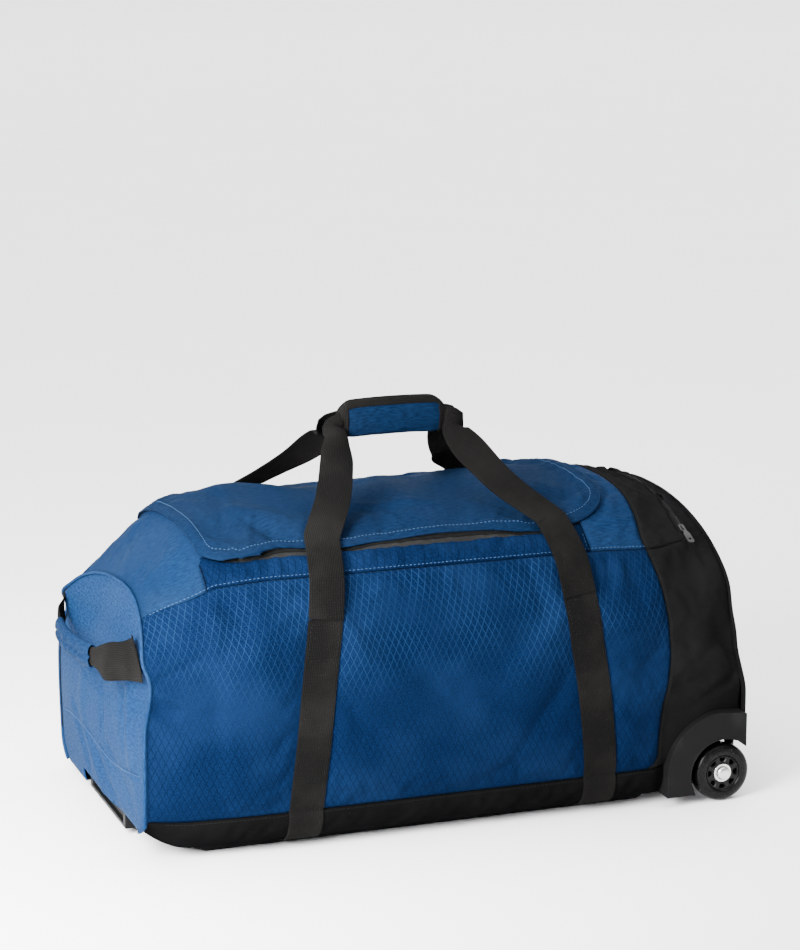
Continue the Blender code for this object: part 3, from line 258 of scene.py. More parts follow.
def lid_distance(x, t):
    """Signed distance to the lid's outline over the cloth: negative on the lid."""
    middle = (LID_LEFT + LID_RIGHT) / 2
    radius = np.where(x < middle, LID_LEFT_CORNER, LID_RIGHT_CORNER)
    across = np.where(x < middle, LID_LEFT - x, x - LID_RIGHT) + radius
    front = (curve_value(LID_HEM, x) - t) * METRES_PER_T + radius
    outside = np.hypot(np.maximum(across, 0), np.maximum(front, 0))
    edge = outside + np.minimum(np.maximum(across, front), 0) - radius
    return np.maximum(edge, (t - LID_HINGE_T) * METRES_PER_T)


def lid_sides(t, grow):
    """Left and right x of the lid at t, with its outline moved out by grow."""
    sides = []
    for edge, corner, sign in ((LID_LEFT, LID_LEFT_CORNER, -1), (LID_RIGHT, LID_RIGHT_CORNER, 1)):
        radius = corner + grow
        hem = float(curve_value(LID_HEM, edge - sign * corner))
        reach = np.clip((hem + corner / METRES_PER_T - t) * METRES_PER_T, 0.0, radius)
        sides.append(edge + sign * (grow - radius + np.sqrt(np.maximum(radius ** 2 - reach ** 2, 0.0))))
    return sides


def lid_outline(grow, count=260):
    """(x, t) points evenly along the lid's zip, from the hinge down the left side and round."""
    turn = np.linspace(0, math.pi / 2, 18)
    runs = []
    for edge, corner, sign in ((LID_LEFT, LID_LEFT_CORNER, -1), (LID_RIGHT, LID_RIGHT_CORNER, 1)):
        radius = corner + grow
        hem = curve_value(LID_HEM, edge - sign * corner * (1 - np.sin(turn)))
        x = edge + sign * (grow - radius + radius * np.cos(turn))
        t = hem + (corner - radius * np.sin(turn)) / METRES_PER_T
        runs.append((np.append(edge + sign * grow, x), np.append(LID_HINGE_T - 0.002, t)))
    (left_x, left_t), (right_x, right_t) = runs
    x = np.linspace(left_x[-1], right_x[-1], 90)[1:-1]
    x = np.concatenate((left_x, x, right_x[::-1]))
    t = np.concatenate((left_t, curve_value(LID_HEM, x[len(left_x):-len(right_x)]) - grow / METRES_PER_T,
                        right_t[::-1]))
    run = np.concatenate(([0], np.cumsum(np.hypot(np.diff(x), np.diff(t) * METRES_PER_T))))
    at = np.linspace(0, run[-1], count)
    return np.interp(at, run, x), np.interp(at, run, t)


# --- folds ------------------------------------------------------------------------------------------


def strap_distance(x, t):
    """Distance to the middle of the nearest sewn strap; far away above its box stitch."""
    side = np.minimum(t, 1 - t)
    middle = curve_value(STRAP_X, side)
    return np.abs(np.abs(x) - middle) + np.where(side > STRAP_SEWN_T, (side - STRAP_SEWN_T) * 6, 0)


def seam_distances(x, t):
    """Distance from each point to the nearest sewn seam of the body, in metres over the cloth."""
    side = np.minimum(t, 1 - t)
    far = np.full(np.shape(x), 1.0)
    seams = [np.abs(side - BAND_T) * METRES_PER_T,
             np.abs(side - side_seam(x)) * METRES_PER_T,
             np.where(side > BAND_T, np.abs(x - hood_seam(t)), far),
             np.where(side > side_seam(x), np.abs(x - SLOPE_SEAM_X), far),
             np.where((side > side_seam(x)) & (lid_distance(x, t) > 0), np.abs(x - RIGHT_SEAM_X), far),
             np.abs(x - left_edge(t)), np.abs(x - right_edge(t))]
    return np.minimum.reduce(seams)


def crease(x, t, start, end, width, depth):
    """A soft ridge (or hollow, with a negative depth) along a line over the cloth that fades at its ends."""
    ax, at, bx, bt = start[0], start[1] * METRES_PER_T, end[0], end[1] * METRES_PER_T
    dx, dt = bx - ax, bt - at
    length = math.hypot(dx, dt)
    px, pt = x - ax, t * METRES_PER_T - at
    s = (px * dx + pt * dt) / length ** 2
    off = (px * dt - pt * dx) / length
    fade = smoothstep((s + 0.15) / 0.35) * smoothstep((1.15 - s) / 0.35)
    return depth * bump(off, width) * fade


# Folds that the cloth is set in: start (x, t), end (x, t), width and height.
FOLDS = (
    ((-0.340, 0.330), (-0.215, 0.235), 0.020, 0.0034), ((-0.345, 0.300), (-0.265, 0.215), 0.011, -0.0022),
    ((-0.352, 0.225), (-0.318, 0.205), 0.009, -0.0040), ((-0.350, 0.190), (-0.325, 0.110), 0.012, -0.0018),
    ((-0.262, 0.338), (-0.246, 0.290), 0.007, -0.0016), ((-0.236, 0.340), (-0.228, 0.285), 0.008, 0.0014),
    ((-0.095, 0.338), (-0.088, 0.290), 0.007, -0.0012), ((-0.040, 0.338), (-0.044, 0.286), 0.009, 0.0012),
    ((0.028, 0.338), (0.033, 0.280), 0.008, -0.0014), ((0.092, 0.338), (0.112, 0.262), 0.008, -0.0022),
    ((0.112, 0.336), (0.124, 0.276), 0.007, 0.0014), ((0.205, 0.330), (0.214, 0.240), 0.013, 0.0018),
    ((0.262, 0.165), (0.322, 0.190), 0.012, -0.0040), ((0.268, 0.205), (0.340, 0.215), 0.014, 0.0034),
    ((0.285, 0.132), (0.356, 0.196), 0.007, -0.0062), ((0.298, 0.122), (0.358, 0.172), 0.010, 0.0034),
    ((0.318, 0.260), (0.352, 0.225), 0.010, -0.0042),
    ((0.275, 0.300), (0.345, 0.285), 0.016, 0.0030), ((0.318, 0.372), (0.338, 0.420), 0.010, -0.0030),
    ((0.322, 0.440), (0.340, 0.500), 0.010, 0.0026), ((-0.346, 0.246), (-0.296, 0.262), 0.0060, -0.0026),
    ((-0.346, 0.232), (-0.286, 0.206), 0.0070, 0.0028), ((-0.348, 0.214), (-0.302, 0.172), 0.0060, -0.0022),
    ((-0.300, 0.338), (-0.262, 0.296), 0.0060, 0.0022), ((-0.276, 0.336), (-0.250, 0.306), 0.0050, -0.0018),
    ((-0.190, 0.338), (-0.196, 0.300), 0.0050, -0.0014), ((-0.068, 0.338), (-0.060, 0.304), 0.0050, 0.0014),
    ((0.004, 0.338), (-0.004, 0.300), 0.0055, 0.0014), ((0.052, 0.338), (0.068, 0.292), 0.0055, 0.0016),
    ((0.132, 0.330), (0.140, 0.290), 0.0050, -0.0016), ((0.196, 0.338), (0.190, 0.288), 0.0055, -0.0016),
    ((0.228, 0.338), (0.238, 0.290), 0.0060, 0.0018), ((0.250, 0.120), (0.206, 0.150), 0.0080, -0.0018),
    ((-0.325, 0.370), (-0.290, 0.460), 0.016, 0.0026),
    ((-0.318, 0.350), (-0.284, 0.395), 0.009, -0.0020), ((0.235, 0.430), (0.244, 0.500), 0.009, -0.0024),
)
LID_FOLDS = (
    ((-0.225, 0.480), (-0.150, 0.420), 0.015, 0.0054), ((-0.210, 0.440), (-0.160, 0.392), 0.010, -0.0046),
    ((-0.130, 0.440), (-0.020, 0.470), 0.028, -0.0062), ((-0.100, 0.400), (-0.060, 0.440), 0.012, 0.0036),
    ((0.020, 0.395), (0.060, 0.445), 0.013, -0.0032), ((0.095, 0.430), (0.175, 0.470), 0.020, 0.0048),
    ((0.150, 0.400), (0.190, 0.440), 0.010, -0.0036), ((-0.255, 0.560), (-0.120, 0.530), 0.024, 0.0030),
    ((0.010, 0.520), (0.150, 0.555), 0.028, -0.0036), ((-0.222, 0.396), (-0.200, 0.450), 0.0055, 0.0022),
    ((-0.196, 0.392), (-0.182, 0.428), 0.0050, -0.0020), ((-0.168, 0.392), (-0.138, 0.436), 0.0060, 0.0024),
    ((-0.146, 0.388), (-0.112, 0.410), 0.0050, -0.0018), ((-0.240, 0.430), (-0.214, 0.500), 0.0070, -0.0024),
    ((-0.060, 0.392), (-0.048, 0.432), 0.0060, -0.0018), ((0.066, 0.390), (0.092, 0.428), 0.0055, 0.0020),
    ((0.112, 0.386), (0.150, 0.420), 0.0060, -0.0022), ((0.176, 0.396), (0.200, 0.452), 0.0060, 0.0022),
    ((-0.080, 0.470), (0.030, 0.452), 0.0080, 0.0024), ((-0.262, 0.470), (-0.252, 0.540), 0.0070, 0.0022),
)


def mirrored_folds(x, t, folds):
    """The front's folds, and on the back the same set, moved a little and made wider and lower."""
    total = sum(crease(x, t, *fold) for fold in folds)
    for (x0, t0), (x1, t1), width, depth in folds:
        total = total + crease(x, t, (x0 * 0.94, 1 - t0), (x1 * 0.97, 1 - t1), width * 1.2, depth * 0.8)
    return total


def put(name, data):
    """A new object in the scene."""
    made = bpy.data.objects.new(name, data)
    bpy.context.scene.collection.objects.link(made)
    return made


def grid_faces(rows, columns):
    index = np.arange(rows * columns).reshape(rows, columns)
    quads = (index[:-1, :-1], index[:-1, 1:], index[1:, 1:], index[1:, :-1])
    return np.stack([q.ravel() for q in quads], axis=1).tolist()


def simulated_field():
    """How far each point of a grid on the skin moves out when slack cloth is held at its seams."""
    v = np.linspace(0, 1, FIELD_ROWS)
    t = np.repeat(v[:, None], FIELD_COLUMNS, axis=1)
    x = lerp(left_edge(t), right_edge(t), np.linspace(0, 1, FIELD_COLUMNS)[None, :])
    base, normals = skin(x, t), skin_normal(x, t)
    rng = np.random.default_rng(7)
    start = base + normals * rng.normal(0, 0.0004, x.shape)[..., None]
    mesh = bpy.data.meshes.new("cloth_field")
    mesh.from_pydata(start.reshape(-1, 3).tolist(), [], grid_faces(FIELD_ROWS, FIELD_COLUMNS))
    guide = put("cloth_field", mesh)
    held = np.maximum(bump(seam_distances(x, t), 0.006), bump(np.abs(lid_distance(x, t)), 0.007))
    held = np.maximum(held, 0.75 * bump(np.maximum(strap_distance(x, t) - 0.014, 0), 0.006))
    held = np.where((t < 0.004) | (t > 0.996), 1.0, held)
    group = guide.vertex_groups.new(name="held")
    for i, weight in enumerate(held.ravel()):
        if weight > 0.02:
            group.add([i], float(min(weight, 1.0)), "REPLACE")
    cloth = guide.modifiers.new("cloth", "CLOTH")
    settings = cloth.settings
    settings.quality = 5
    settings.mass = 0.25
    settings.tension_stiffness = settings.compression_stiffness = 18
    settings.shear_stiffness = 6
    settings.bending_stiffness = 1.6
    settings.vertex_group_mass = "held"
    settings.pin_stiffness = 4
    settings.shrink_min = -SLACK
    settings.use_pressure = True
    settings.uniform_pressure_force = 1.2
    settings.effector_weights.gravity = 0.15
    cloth.collision_settings.use_collision = False
    scene = bpy.context.scene
    for frame_number in range(1, SIMULATED_FRAMES + 1):
        scene.frame_set(frame_number)
    evaluated = guide.evaluated_get(bpy.context.evaluated_depsgraph_get())
    moved = np.empty(len(evaluated.data.vertices) * 3)
    evaluated.data.vertices.foreach_get("co", moved)
    moved = moved.reshape(FIELD_ROWS, FIELD_COLUMNS, 3)
    scene.frame_set(1)
    bpy.data.objects.remove(guide)
    height = ((moved - base) * normals).sum(-1)
    height = np.nan_to_num(height)
    return FOLD_CAP * np.tanh(height / FOLD_CAP)


def catmull(p, s):
    a, b, c, d = p
    return 0.5 * (2 * b + (c - a) * s + (2 * a - 5 * b + 4 * c - d) * s ** 2
                  + (3 * b - a - 3 * c + d) * s ** 3)


field = simulated_field()


def field_value(x, t):
    """The simulated height at any point of the skin, from smooth curves through the grid."""
    u = (x - left_edge(t)) / (right_edge(t) - left_edge(t)) * (FIELD_COLUMNS - 1)
    v = np.clip(t, 0, 1) * (FIELD_ROWS - 1)
    u = np.clip(u, 0, FIELD_COLUMNS - 1.001)
    v = np.clip(v, 0, FIELD_ROWS - 1.001)
    i, j = np.floor(u).astype(int), np.floor(v).astype(int)
    rows = []
    for dj in (-1, 0, 1, 2):
        row = np.clip(j + dj, 0, FIELD_ROWS - 1)
        four = [field[row, np.clip(i + di, 0, FIELD_COLUMNS - 1)] for di in (-1, 0, 1, 2)]
        rows.append(catmull(four, u - i))
    return catmull(rows, v - j)


def body_height(x, t):
    """Folds, strap hollows and seam grooves of everything but the lid."""
    seam = seam_distances(x, t)
    strap = strap_distance(x, t)
    pressed = smoothstep((strap - 0.019) / 0.010)
    calm = 1 - 0.55 * smoothstep((-0.262 - x) / 0.02)
    height = (0.8 * calm * field_value(x, t) + mirrored_folds(x, t, FOLDS)) * (0.20 + 0.80 * pressed)
    side = np.minimum(t, 1 - t)
    ripple = np.sin(x * 212 + 2.1 * np.sin(x * 37)) * np.sin(x * 61 + 1.3)
    height = height + 0.0011 * ripple * bump(side - side_seam(x) + 0.014, 0.030)
    pucker = np.sin(x * 420 + 2.6 * np.sin(x * 53)) * np.sin(x * 97 + 0.7)
    height = height + 0.0010 * pucker * bump(side - 0.358, 0.014)
    height = height * smoothstep(seam / 0.012) - 0.0008 * (1 - pressed)
    low = smoothstep(side / 0.05)
    base = skin(x, t)[..., 2]
    housed = smoothstep((x - 0.246) / 0.018) * smoothstep((0.150 - base) / 0.034)
    from_end = np.minimum(np.abs(x - left_edge(t)), np.abs(x - right_edge(t)))
    groove = 0.0014 * bump(seam, 0.0032) * smoothstep((from_end - 0.003) / 0.006)
    return (height * low * (1 - housed) - groove - 0.0010 * bump(seam, 0.010) * low
            - 0.0052 * housed * low)


def lid_height(x, t):
    """The lid lies over its zip: its edge stands off the body in slow waves."""
    inside = np.maximum(-lid_distance(x, t), 0)
    rim = bump(inside, 0.016)
    wave = np.sin(x * 26 + 0.9) + 0.6 * np.sin(x * 61 + 2.0)
    folds = field_value(x, t) + mirrored_folds(x, t, LID_FOLDS)
    curl = 0.0050 * bump(x + 0.245, 0.028) * bump(t - 0.395, 0.030) * rim
    height = 0.0036 + folds * smoothstep(inside / 0.022) + 0.0017 * rim * wave + curl
    return height * smoothstep((LID_HINGE_T - t) / 0.02)


def body_point(x, t, lift=0.0):
    x, t = np.broadcast_arrays(np.asarray(x, float), np.asarray(t, float))
    return skin(x, t) + skin_normal(x, t) * (body_height(x, t) + lift)[..., None]


def lid_point(x, t, lift=0.0):
    x, t = np.broadcast_arrays(np.asarray(x, float), np.asarray(t, float))
    return skin(x, t) + skin_normal(x, t) * (lid_height(x, t) + lift)[..., None]


# --- materials ----------------------------------------------------------------------------------


class Graph:
    """Short names for the nodes of one material."""

    def __init__(self, name, roughness, metallic=0.0, **sockets):
        self.material = bpy.data.materials.new(name)
        self.material.use_nodes = True
        self.tree = self.material.node_tree
        self.shader = self.tree.nodes["Principled BSDF"]
        self.shader.inputs["Roughness"].default_value = roughness
        self.shader.inputs["Metallic"].default_value = metallic
        for socket, value in sockets.items():
            self.shader.inputs[socket.replace("_", " ")].default_value = value

    def node(self, kind, inputs=(), **settings):
        made = self.tree.nodes.new(f"ShaderNode{kind}")
        for key, value in settings.items():
            setattr(made, key, value)
        for key, value in dict(inputs).items():
            if isinstance(value, bpy.types.NodeSocket):
                self.tree.links.new(value, made.inputs[key])
            else:
                made.inputs[key].default_value = value
        return made

    def math(self, operation, a, b=0.0):
        return self.node("Math", {0: a, 1: b}, operation=operation).outputs[0]

    def weave(self):
        """The piece's own cloth coordinates, in metres."""
        return self.node("Attribute", attribute_name="weave").outputs["Vector"]

    def place(self):
        return self.node("TexCoord").outputs["Object"]

    def noise(self, vector, scale, detail=2.0, stretch=(1, 1, 1)):
        spread = self.node("Mapping", {"Vector": vector, "Scale": stretch}).outputs[0]
        return self.node("TexNoise", {"Vector": spread, "Scale": scale, "Detail": detail}).outputs[0]

    def band(self, value, low, high, to_low=0.0, to_high=1.0):
        values = {"Value": value, "From Min": low, "From Max": high, "To Min": to_low, "To Max": to_high}
        return self.node("MapRange", values, interpolation_type="SMOOTHSTEP").outputs[0]

    def mix(self, factor, a, b):
        made = self.tree.nodes.new("ShaderNodeMix")
        made.data_type = "RGBA"
        for key, value in ((0, factor), (6, a), (7, b)):
            if isinstance(value, bpy.types.NodeSocket):
                self.tree.links.new(value, made.inputs[key])
            else:
                made.inputs[key].default_value = (*value, 1.0) if key else value
        return made.outputs[2]

    def colour(self, socket):
        self.tree.links.new(socket, self.shader.inputs["Base Color"])

    def rough(self, socket):
        self.tree.links.new(socket, self.shader.inputs["Roughness"])

    def relief(self, height, distance, strength=1.0):
        made = self.node("Bump", {"Height": height, "Distance": distance, "Strength": strength})
        self.tree.links.new(made.outputs[0], self.shader.inputs["Normal"])

    def threads(self, vector, warp, weft):
        """The over and under of a plain weave, 0 to 1, with threads this far apart."""
        split = self.node("SeparateXYZ", {0: vector})
        across = self.math("SINE", self.math("MULTIPLY", split.outputs[0], math.tau / warp))
        along = self.math("SINE", self.math("MULTIPLY", split.outputs[1], math.tau / weft))
        return self.band(self.math("MULTIPLY", across, along), -1.0, 1.0)


BLUE_GLOSS = {"Specular_IOR_Level": 0.006, "Specular_Tint": (0.35, 0.65, 1.0, 1.0)}


def ripstop():
    """Coated blue cloth with a raised lattice of tall diamonds."""
    g = Graph("ripstop_cloth", 0.60, Sheen_Weight=0.006, Sheen_Roughness=0.40,
              Sheen_Tint=(0.20, 0.50, 0.95, 1.0), **BLUE_GLOSS)
    weave = g.weave()
    wobble = g.noise(weave, 90)
    split = g.node("SeparateXYZ", {0: weave})
    u = g.math("ADD", g.math("DIVIDE", split.outputs[0], 0.0080), g.math("MULTIPLY", wobble, 0.10))
    v = g.math("DIVIDE", split.outputs[1], 0.0165)
    lines = []
    for operation in ("ADD", "SUBTRACT"):
        folded = g.math("ABSOLUTE", g.math("SUBTRACT", g.math("FRACT", g.math(operation, u, v)), 0.5))
        lines.append(g.band(folded, 0.425, 0.485))
    lattice = g.math("MAXIMUM", *lines)
    speckle = g.noise(weave, 620, 3.0)
    worn = g.band(g.noise(weave, 9, 4.0), 0.40, 0.66)
    grain = g.band(speckle, 0.30, 0.70)
    ground = g.mix(grain, (0.0008, 0.0028, 0.0108), (0.0022, 0.0082, 0.0290))
    ground = g.mix(g.math("MULTIPLY", worn, 0.26), ground, (0.0060, 0.0175, 0.0520))
    # Painted highlight and painted shade: the lattice lines are coloured darker than the cloth low on each
    # panel and paler higher up (weave v from 0.13 to 0.27), in noisy patches.
    patch = g.noise(weave, 11, 2.0)
    painted_highlight = g.math("MULTIPLY", g.band(split.outputs[1], 0.13, 0.27), g.band(patch, 0.35, 0.60, 0.45, 1.0))
    line = g.mix(painted_highlight, (0.0004, 0.0019, 0.0078), (0.0095, 0.0290, 0.0760))
    g.colour(g.mix(g.math("MULTIPLY", lattice, 0.62), ground, line))
    g.rough(g.band(g.math("MAXIMUM", lattice, g.math("MULTIPLY", speckle, 0.5)), 0.0, 1.0, 0.66, 0.44))
    fine = g.threads(weave, 0.0011, 0.0011)
    g.relief(g.math("ADD", g.math("MULTIPLY", lattice, 0.8), g.math("MULTIPLY", fine, 0.35)), 0.00030, 0.85)
    return g.material


def plain_blue(name, strength):
    """Plain-weave blue cloth with heathered yarns and a grey bloom on top."""
    g = Graph(name, 0.64, Sheen_Weight=0.008, Sheen_Roughness=0.38,
              Sheen_Tint=(0.25, 0.52, 0.95, 1.0), **BLUE_GLOSS)
    weave = g.weave()
    slub = g.noise(weave, 230, 3.0, (0.55, 2.2, 1))
    yarn = g.noise(weave, 760, 2.0)
    worn = g.band(g.noise(weave, 7, 3.0), 0.38, 0.68)

    # strength scales every colour of the cloth, so that the copies made with it carry painted light and
    # painted shade.
    def shade(*linear):
        return tuple(c * strength for c in linear)

    ground = g.mix(g.band(slub, 0.30, 0.70), shade(0.0050, 0.019, 0.066), shade(0.0130, 0.050, 0.148))
    ground = g.mix(g.math("MULTIPLY", g.band(yarn, 0.35, 0.65), 0.34), ground, shade(0.0240, 0.072, 0.190))
    g.colour(g.mix(g.math("MULTIPLY", worn, 0.24), ground, shade(0.0340, 0.070, 0.155)))
    g.rough(g.band(slub, 0.2, 0.8, 0.68, 0.52))
    fine = g.threads(weave, 0.0013, 0.0022)
    g.relief(g.math("ADD", fine, g.math("MULTIPLY", slub, 0.9)), 0.00024, 0.8)
    return g.material


def dark_cloth(name, dark, light, warp, weft, sheen=0.004):
    g = Graph(name, 0.70, Sheen_Weight=sheen, Sheen_Roughness=0.5, Sheen_Tint=(0.8, 0.8, 0.82, 1.0),
              Specular_IOR_Level=0.0)
    weave = g.weave()
    yarn = g.noise(weave, 680, 3.0)
    dust = g.band(g.noise(weave, 11, 4.0), 0.42, 0.72)
    g.colour(g.mix(g.math("MULTIPLY", dust, 0.22), g.mix(yarn, dark, light), tuple(c * 1.7 for c in light)))
    g.rough(g.band(yarn, 0.2, 0.8, 0.78, 0.62))
    g.relief(g.math("ADD", g.threads(weave, warp, weft), g.math("MULTIPLY", yarn, 0.5)), 0.00026, 0.8)
    return g.material


def webbing():
    """Ribs along the tape, crossed by the weft."""
    g = Graph("woven_webbing", 0.66, Sheen_Weight=0.008, Sheen_Roughness=0.45,
              Sheen_Tint=(0.85, 0.83, 0.80, 1.0), Specular_IOR_Level=0.0)
    weave = g.weave()
    split = g.node("SeparateXYZ", {0: weave})
    rib = g.math("SINE", g.math("MULTIPLY", split.outputs[1], math.tau / 0.0020))
    weft = g.math("SINE", g.math("MULTIPLY", split.outputs[0], math.tau / 0.0017))
    relief = g.band(g.math("ADD", g.math("MULTIPLY", rib, 0.7), g.math("MULTIPLY", weft, 0.5)), -1.2, 1.2)
    fuzz = g.noise(weave, 900, 2.0)
    rubbed = g.band(g.noise(weave, 14, 3.0), 0.40, 0.70)
    ground = g.mix(g.math("MULTIPLY", relief, fuzz), (0.0022, 0.0022, 0.0022), (0.0103, 0.0099, 0.0094))
    g.colour(g.mix(g.math("MULTIPLY", rubbed, 0.25), ground, (0.0134, 0.0130, 0.0120)))
    g.rough(g.band(fuzz, 0.2, 0.8, 0.74, 0.58))
    g.relief(relief, 0.00045, 0.9)
    return g.material


def moulded():
    """Fine spark-eroded black plastic, slightly paler where it has rubbed."""
    g = Graph("moulded_plastic", 0.46, Specular_IOR_Level=0.035)
    place = g.place()
    grain = g.noise(place, 1500, 2.0)
    rubbed = g.band(g.noise(place, 22, 5.0), 0.52, 0.74)
    ground = g.mix(grain, (0.0034, 0.0034, 0.0035), (0.0060, 0.0060, 0.0062))
    g.colour(g.mix(g.math("MULTIPLY", rubbed, 0.30), ground, (0.016, 0.016, 0.0165)))
    g.rough(g.band(grain, 0.25, 0.75, 0.54, 0.40))
    g.relief(grain, 0.00010, 0.6)
    return g.material


def smooth_black(name, shade, roughness, dust_colour, relief=0.00003, gloss=0.12):
    g = Graph(name, roughness, Specular_IOR_Level=gloss)
    place = g.place()
    dust = g.band(g.noise(place, 75, 5.0), 0.48, 0.78)
    g.colour(g.mix(g.math("MULTIPLY", dust, 0.30), (shade, shade, shade), dust_colour))
    g.rough(g.band(g.noise(place, 160, 3.0), 0.3, 0.7, roughness - 0.04, roughness + 0.10))
    g.relief(g.noise(place, 420, 2.0), relief, 0.5)
    return g.material


def metal(name, shade, roughness, stretch):
    g = Graph(name, roughness, 1.0)
    place = g.place()
    brushed = g.noise(place, 420, 3.0, stretch)
    darker = tuple(c * 0.80 for c in shade)
    g.colour(g.mix(brushed, darker, shade))
    g.rough(g.band(brushed, 0.2, 0.8, roughness - 0.06, roughness + 0.10))
    g.relief(brushed, 0.00002, 0.4)
    return g.material


def thread(name, dark, light):
    g = Graph(name, 0.65, Specular_IOR_Level=0.02)
    twist = g.noise(g.place(), 1800, 1.0)
    g.colour(g.mix(twist, dark, light))
    g.relief(twist, 0.00008, 0.6)
    return g.material


# One plain cloth at three brightnesses: the copy for the lid and grips is darkened as painted shade, and the
# copy for the handle end and its piping is brightened as painted light.
RIPSTOP, PLAIN = ripstop(), plain_blue("plain_cloth", 0.30)
PLAIN_SHADED, PLAIN_LIT = plain_blue("plain_cloth_painted_shade", 0.205), plain_blue("plain_cloth_painted_light", 0.46)
BLACK = dark_cloth("black_cloth", (0.0018, 0.0018, 0.0019), (0.0072, 0.0072, 0.0074), 0.0014, 0.0014)
# A darker copy of the black cloth, painted shade, for the low band and the bottom cloth.
BLACK_SHADED = dark_cloth("black_cloth_painted_shade", (0.0010, 0.0010, 0.0011), (0.0038, 0.0038, 0.0039), 0.0014, 0.0014, 0.0)
LINING = dark_cloth("lining_cloth", (0.105, 0.110, 0.115), (0.200, 0.205, 0.210), 0.0009, 0.0009, 0.1)
TAPE = dark_cloth("zip_tape", (0.0035, 0.0035, 0.0035), (0.0105, 0.0105, 0.0105), 0.0008, 0.0016, 0.08)
WEBBING = webbing()
MOULDED = moulded()
TYRE = smooth_black("tyre_rubber", 0.0022, 0.22, (0.0045, 0.0045, 0.0043), 0.00001, 0.09)
HUB = smooth_black("hub_plastic", 0.0040, 0.34, (0.012, 0.012, 0.012), gloss=0.10)
STEEL = metal("bright_steel", (0.66, 0.66, 0.64), 0.26, (1, 1, 1))
ALUMINIUM = metal("satin_aluminium", (0.58, 0.59, 0.60), 0.32, (0.05, 1, 1))
ZIP_METAL = smooth_black("black_zip_metal", 0.0040, 0.36, (0.010, 0.010, 0.010), gloss=0.16)
BLUE_THREAD = thread("blue_thread", (0.016, 0.042, 0.098), (0.048, 0.092, 0.170))
BLACK_THREAD = thread("black_thread", (0.004, 0.004, 0.004), (0.012, 0.012, 0.012))


# --- mesh makers ----------------------------------------------------------------------------------


def add_piece(name, points, faces, material, slot, body, weave=None, nodes=(), solid=0.0, offset=-1.0,
              lining=None, smooth=True):
    """A piece on a CAD body; weave gives each point's cloth coordinates in metres."""
    mesh = bpy.data.meshes.new(name)
    mesh.from_pydata(np.asarray(points).reshape(-1, 3).tolist(), [], faces)
    mesh.materials.append(material)
    if weave is not None:
        flat = np.zeros((len(mesh.vertices), 3), np.float32)
        flat[:, :2] = np.asarray(weave).reshape(-1, 2)
        layer = mesh.attributes.new("weave", "FLOAT_VECTOR", "POINT")
        layer.data.foreach_set("vector", flat.ravel())
    if smooth:
        mesh.shade_smooth()
    piece = put(name, mesh)
    if solid:
        shell = piece.modifiers.new("thickness", "SOLIDIFY")
        shell.thickness = solid
        shell.offset = offset
        if lining:
            mesh.materials.append(lining)
            shell.material_offset = 1
    if body:
        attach(piece, body)
    if nodes:
        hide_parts(*nodes)
    return piece


def run_along(line):
    """Distance run along a line of points."""
    return np.concatenate(([0], np.cumsum(np.linalg.norm(np.diff(line, axis=0), axis=1))))


def along_line(at, run, line):
    """Points (or normals) of a line at the given distances run."""
    return np.stack([np.interp(at, run, line[:, k]) for k in range(3)], axis=-1)


def band_faces(rings, count, first=0):
    """Quads between closed rings of count points each, numbered ring by ring from first."""
    faces = []
    for k in range(rings - 1):
        a, b = first + k * count, first + (k + 1) * count
        faces += [(a + i, a + (i + 1) % count, b + (i + 1) % count, b + i) for i in range(count)]
    return faces


def closed_faces(rings, count, first=0):
    """The quads between rings, with a face over each end."""
    last = first + (rings - 1) * count
    return band_faces(rings, count, first) + [tuple(range(first + count - 1, first - 1, -1)),
                                              tuple(range(last, last + count))]


def rounded(piece, width, segments=1, angle=None, name="edges"):
    """Rounds a piece's edges; with an angle in degrees, only those that turn more than it."""
    edge = piece.modifiers.new(name, "BEVEL")
    edge.width = width
    edge.segments = segments
    if angle:
        edge.limit_method = "ANGLE"
        edge.angle_limit = math.radians(angle)


def outward(points, faces, middle):
    """The faces, turned so that they look away from middle."""
    a, b, c = (points[k] for k in faces[len(faces) // 2][:3])
    if np.dot(np.cross(b - a, c - b), a - np.asarray(middle)) < 0:
        return [tuple(reversed(f)) for f in faces]
    return faces


def lay_flat(points):
    """Cloth coordinates of a grid of points on the smooth skin: distances run along it both ways."""
    across = np.linalg.norm(np.diff(points, axis=1), axis=-1)
    up = np.linalg.norm(np.diff(points, axis=0), axis=-1)
    u = np.concatenate((np.zeros((len(points), 1)), np.cumsum(across, axis=1)), axis=1)
    v = np.concatenate((np.zeros((1, points.shape[1])), np.cumsum(up, axis=0)))
    return u, v


def sheet(piece, held, rests_on):
    """Reads the weave coordinates that lay a piece of cloth out flat, and keeps nothing of them."""
    weave = np.empty(len(piece.data.vertices) * 3, np.float32)
    piece.data.attributes["weave"].data.foreach_get("vector", weave)
    weave = weave.reshape(-1, 3)[:, :2].astype(float)
    list(rests_on)


def arc_length(points, axis):
    """Distance run along one axis of a grid of points, averaged over the other axis."""
    steps = np.linalg.norm(np.diff(points, axis=axis), axis=-1).mean(axis=1 - axis)
    return np.concatenate(([0.0], np.cumsum(steps)))


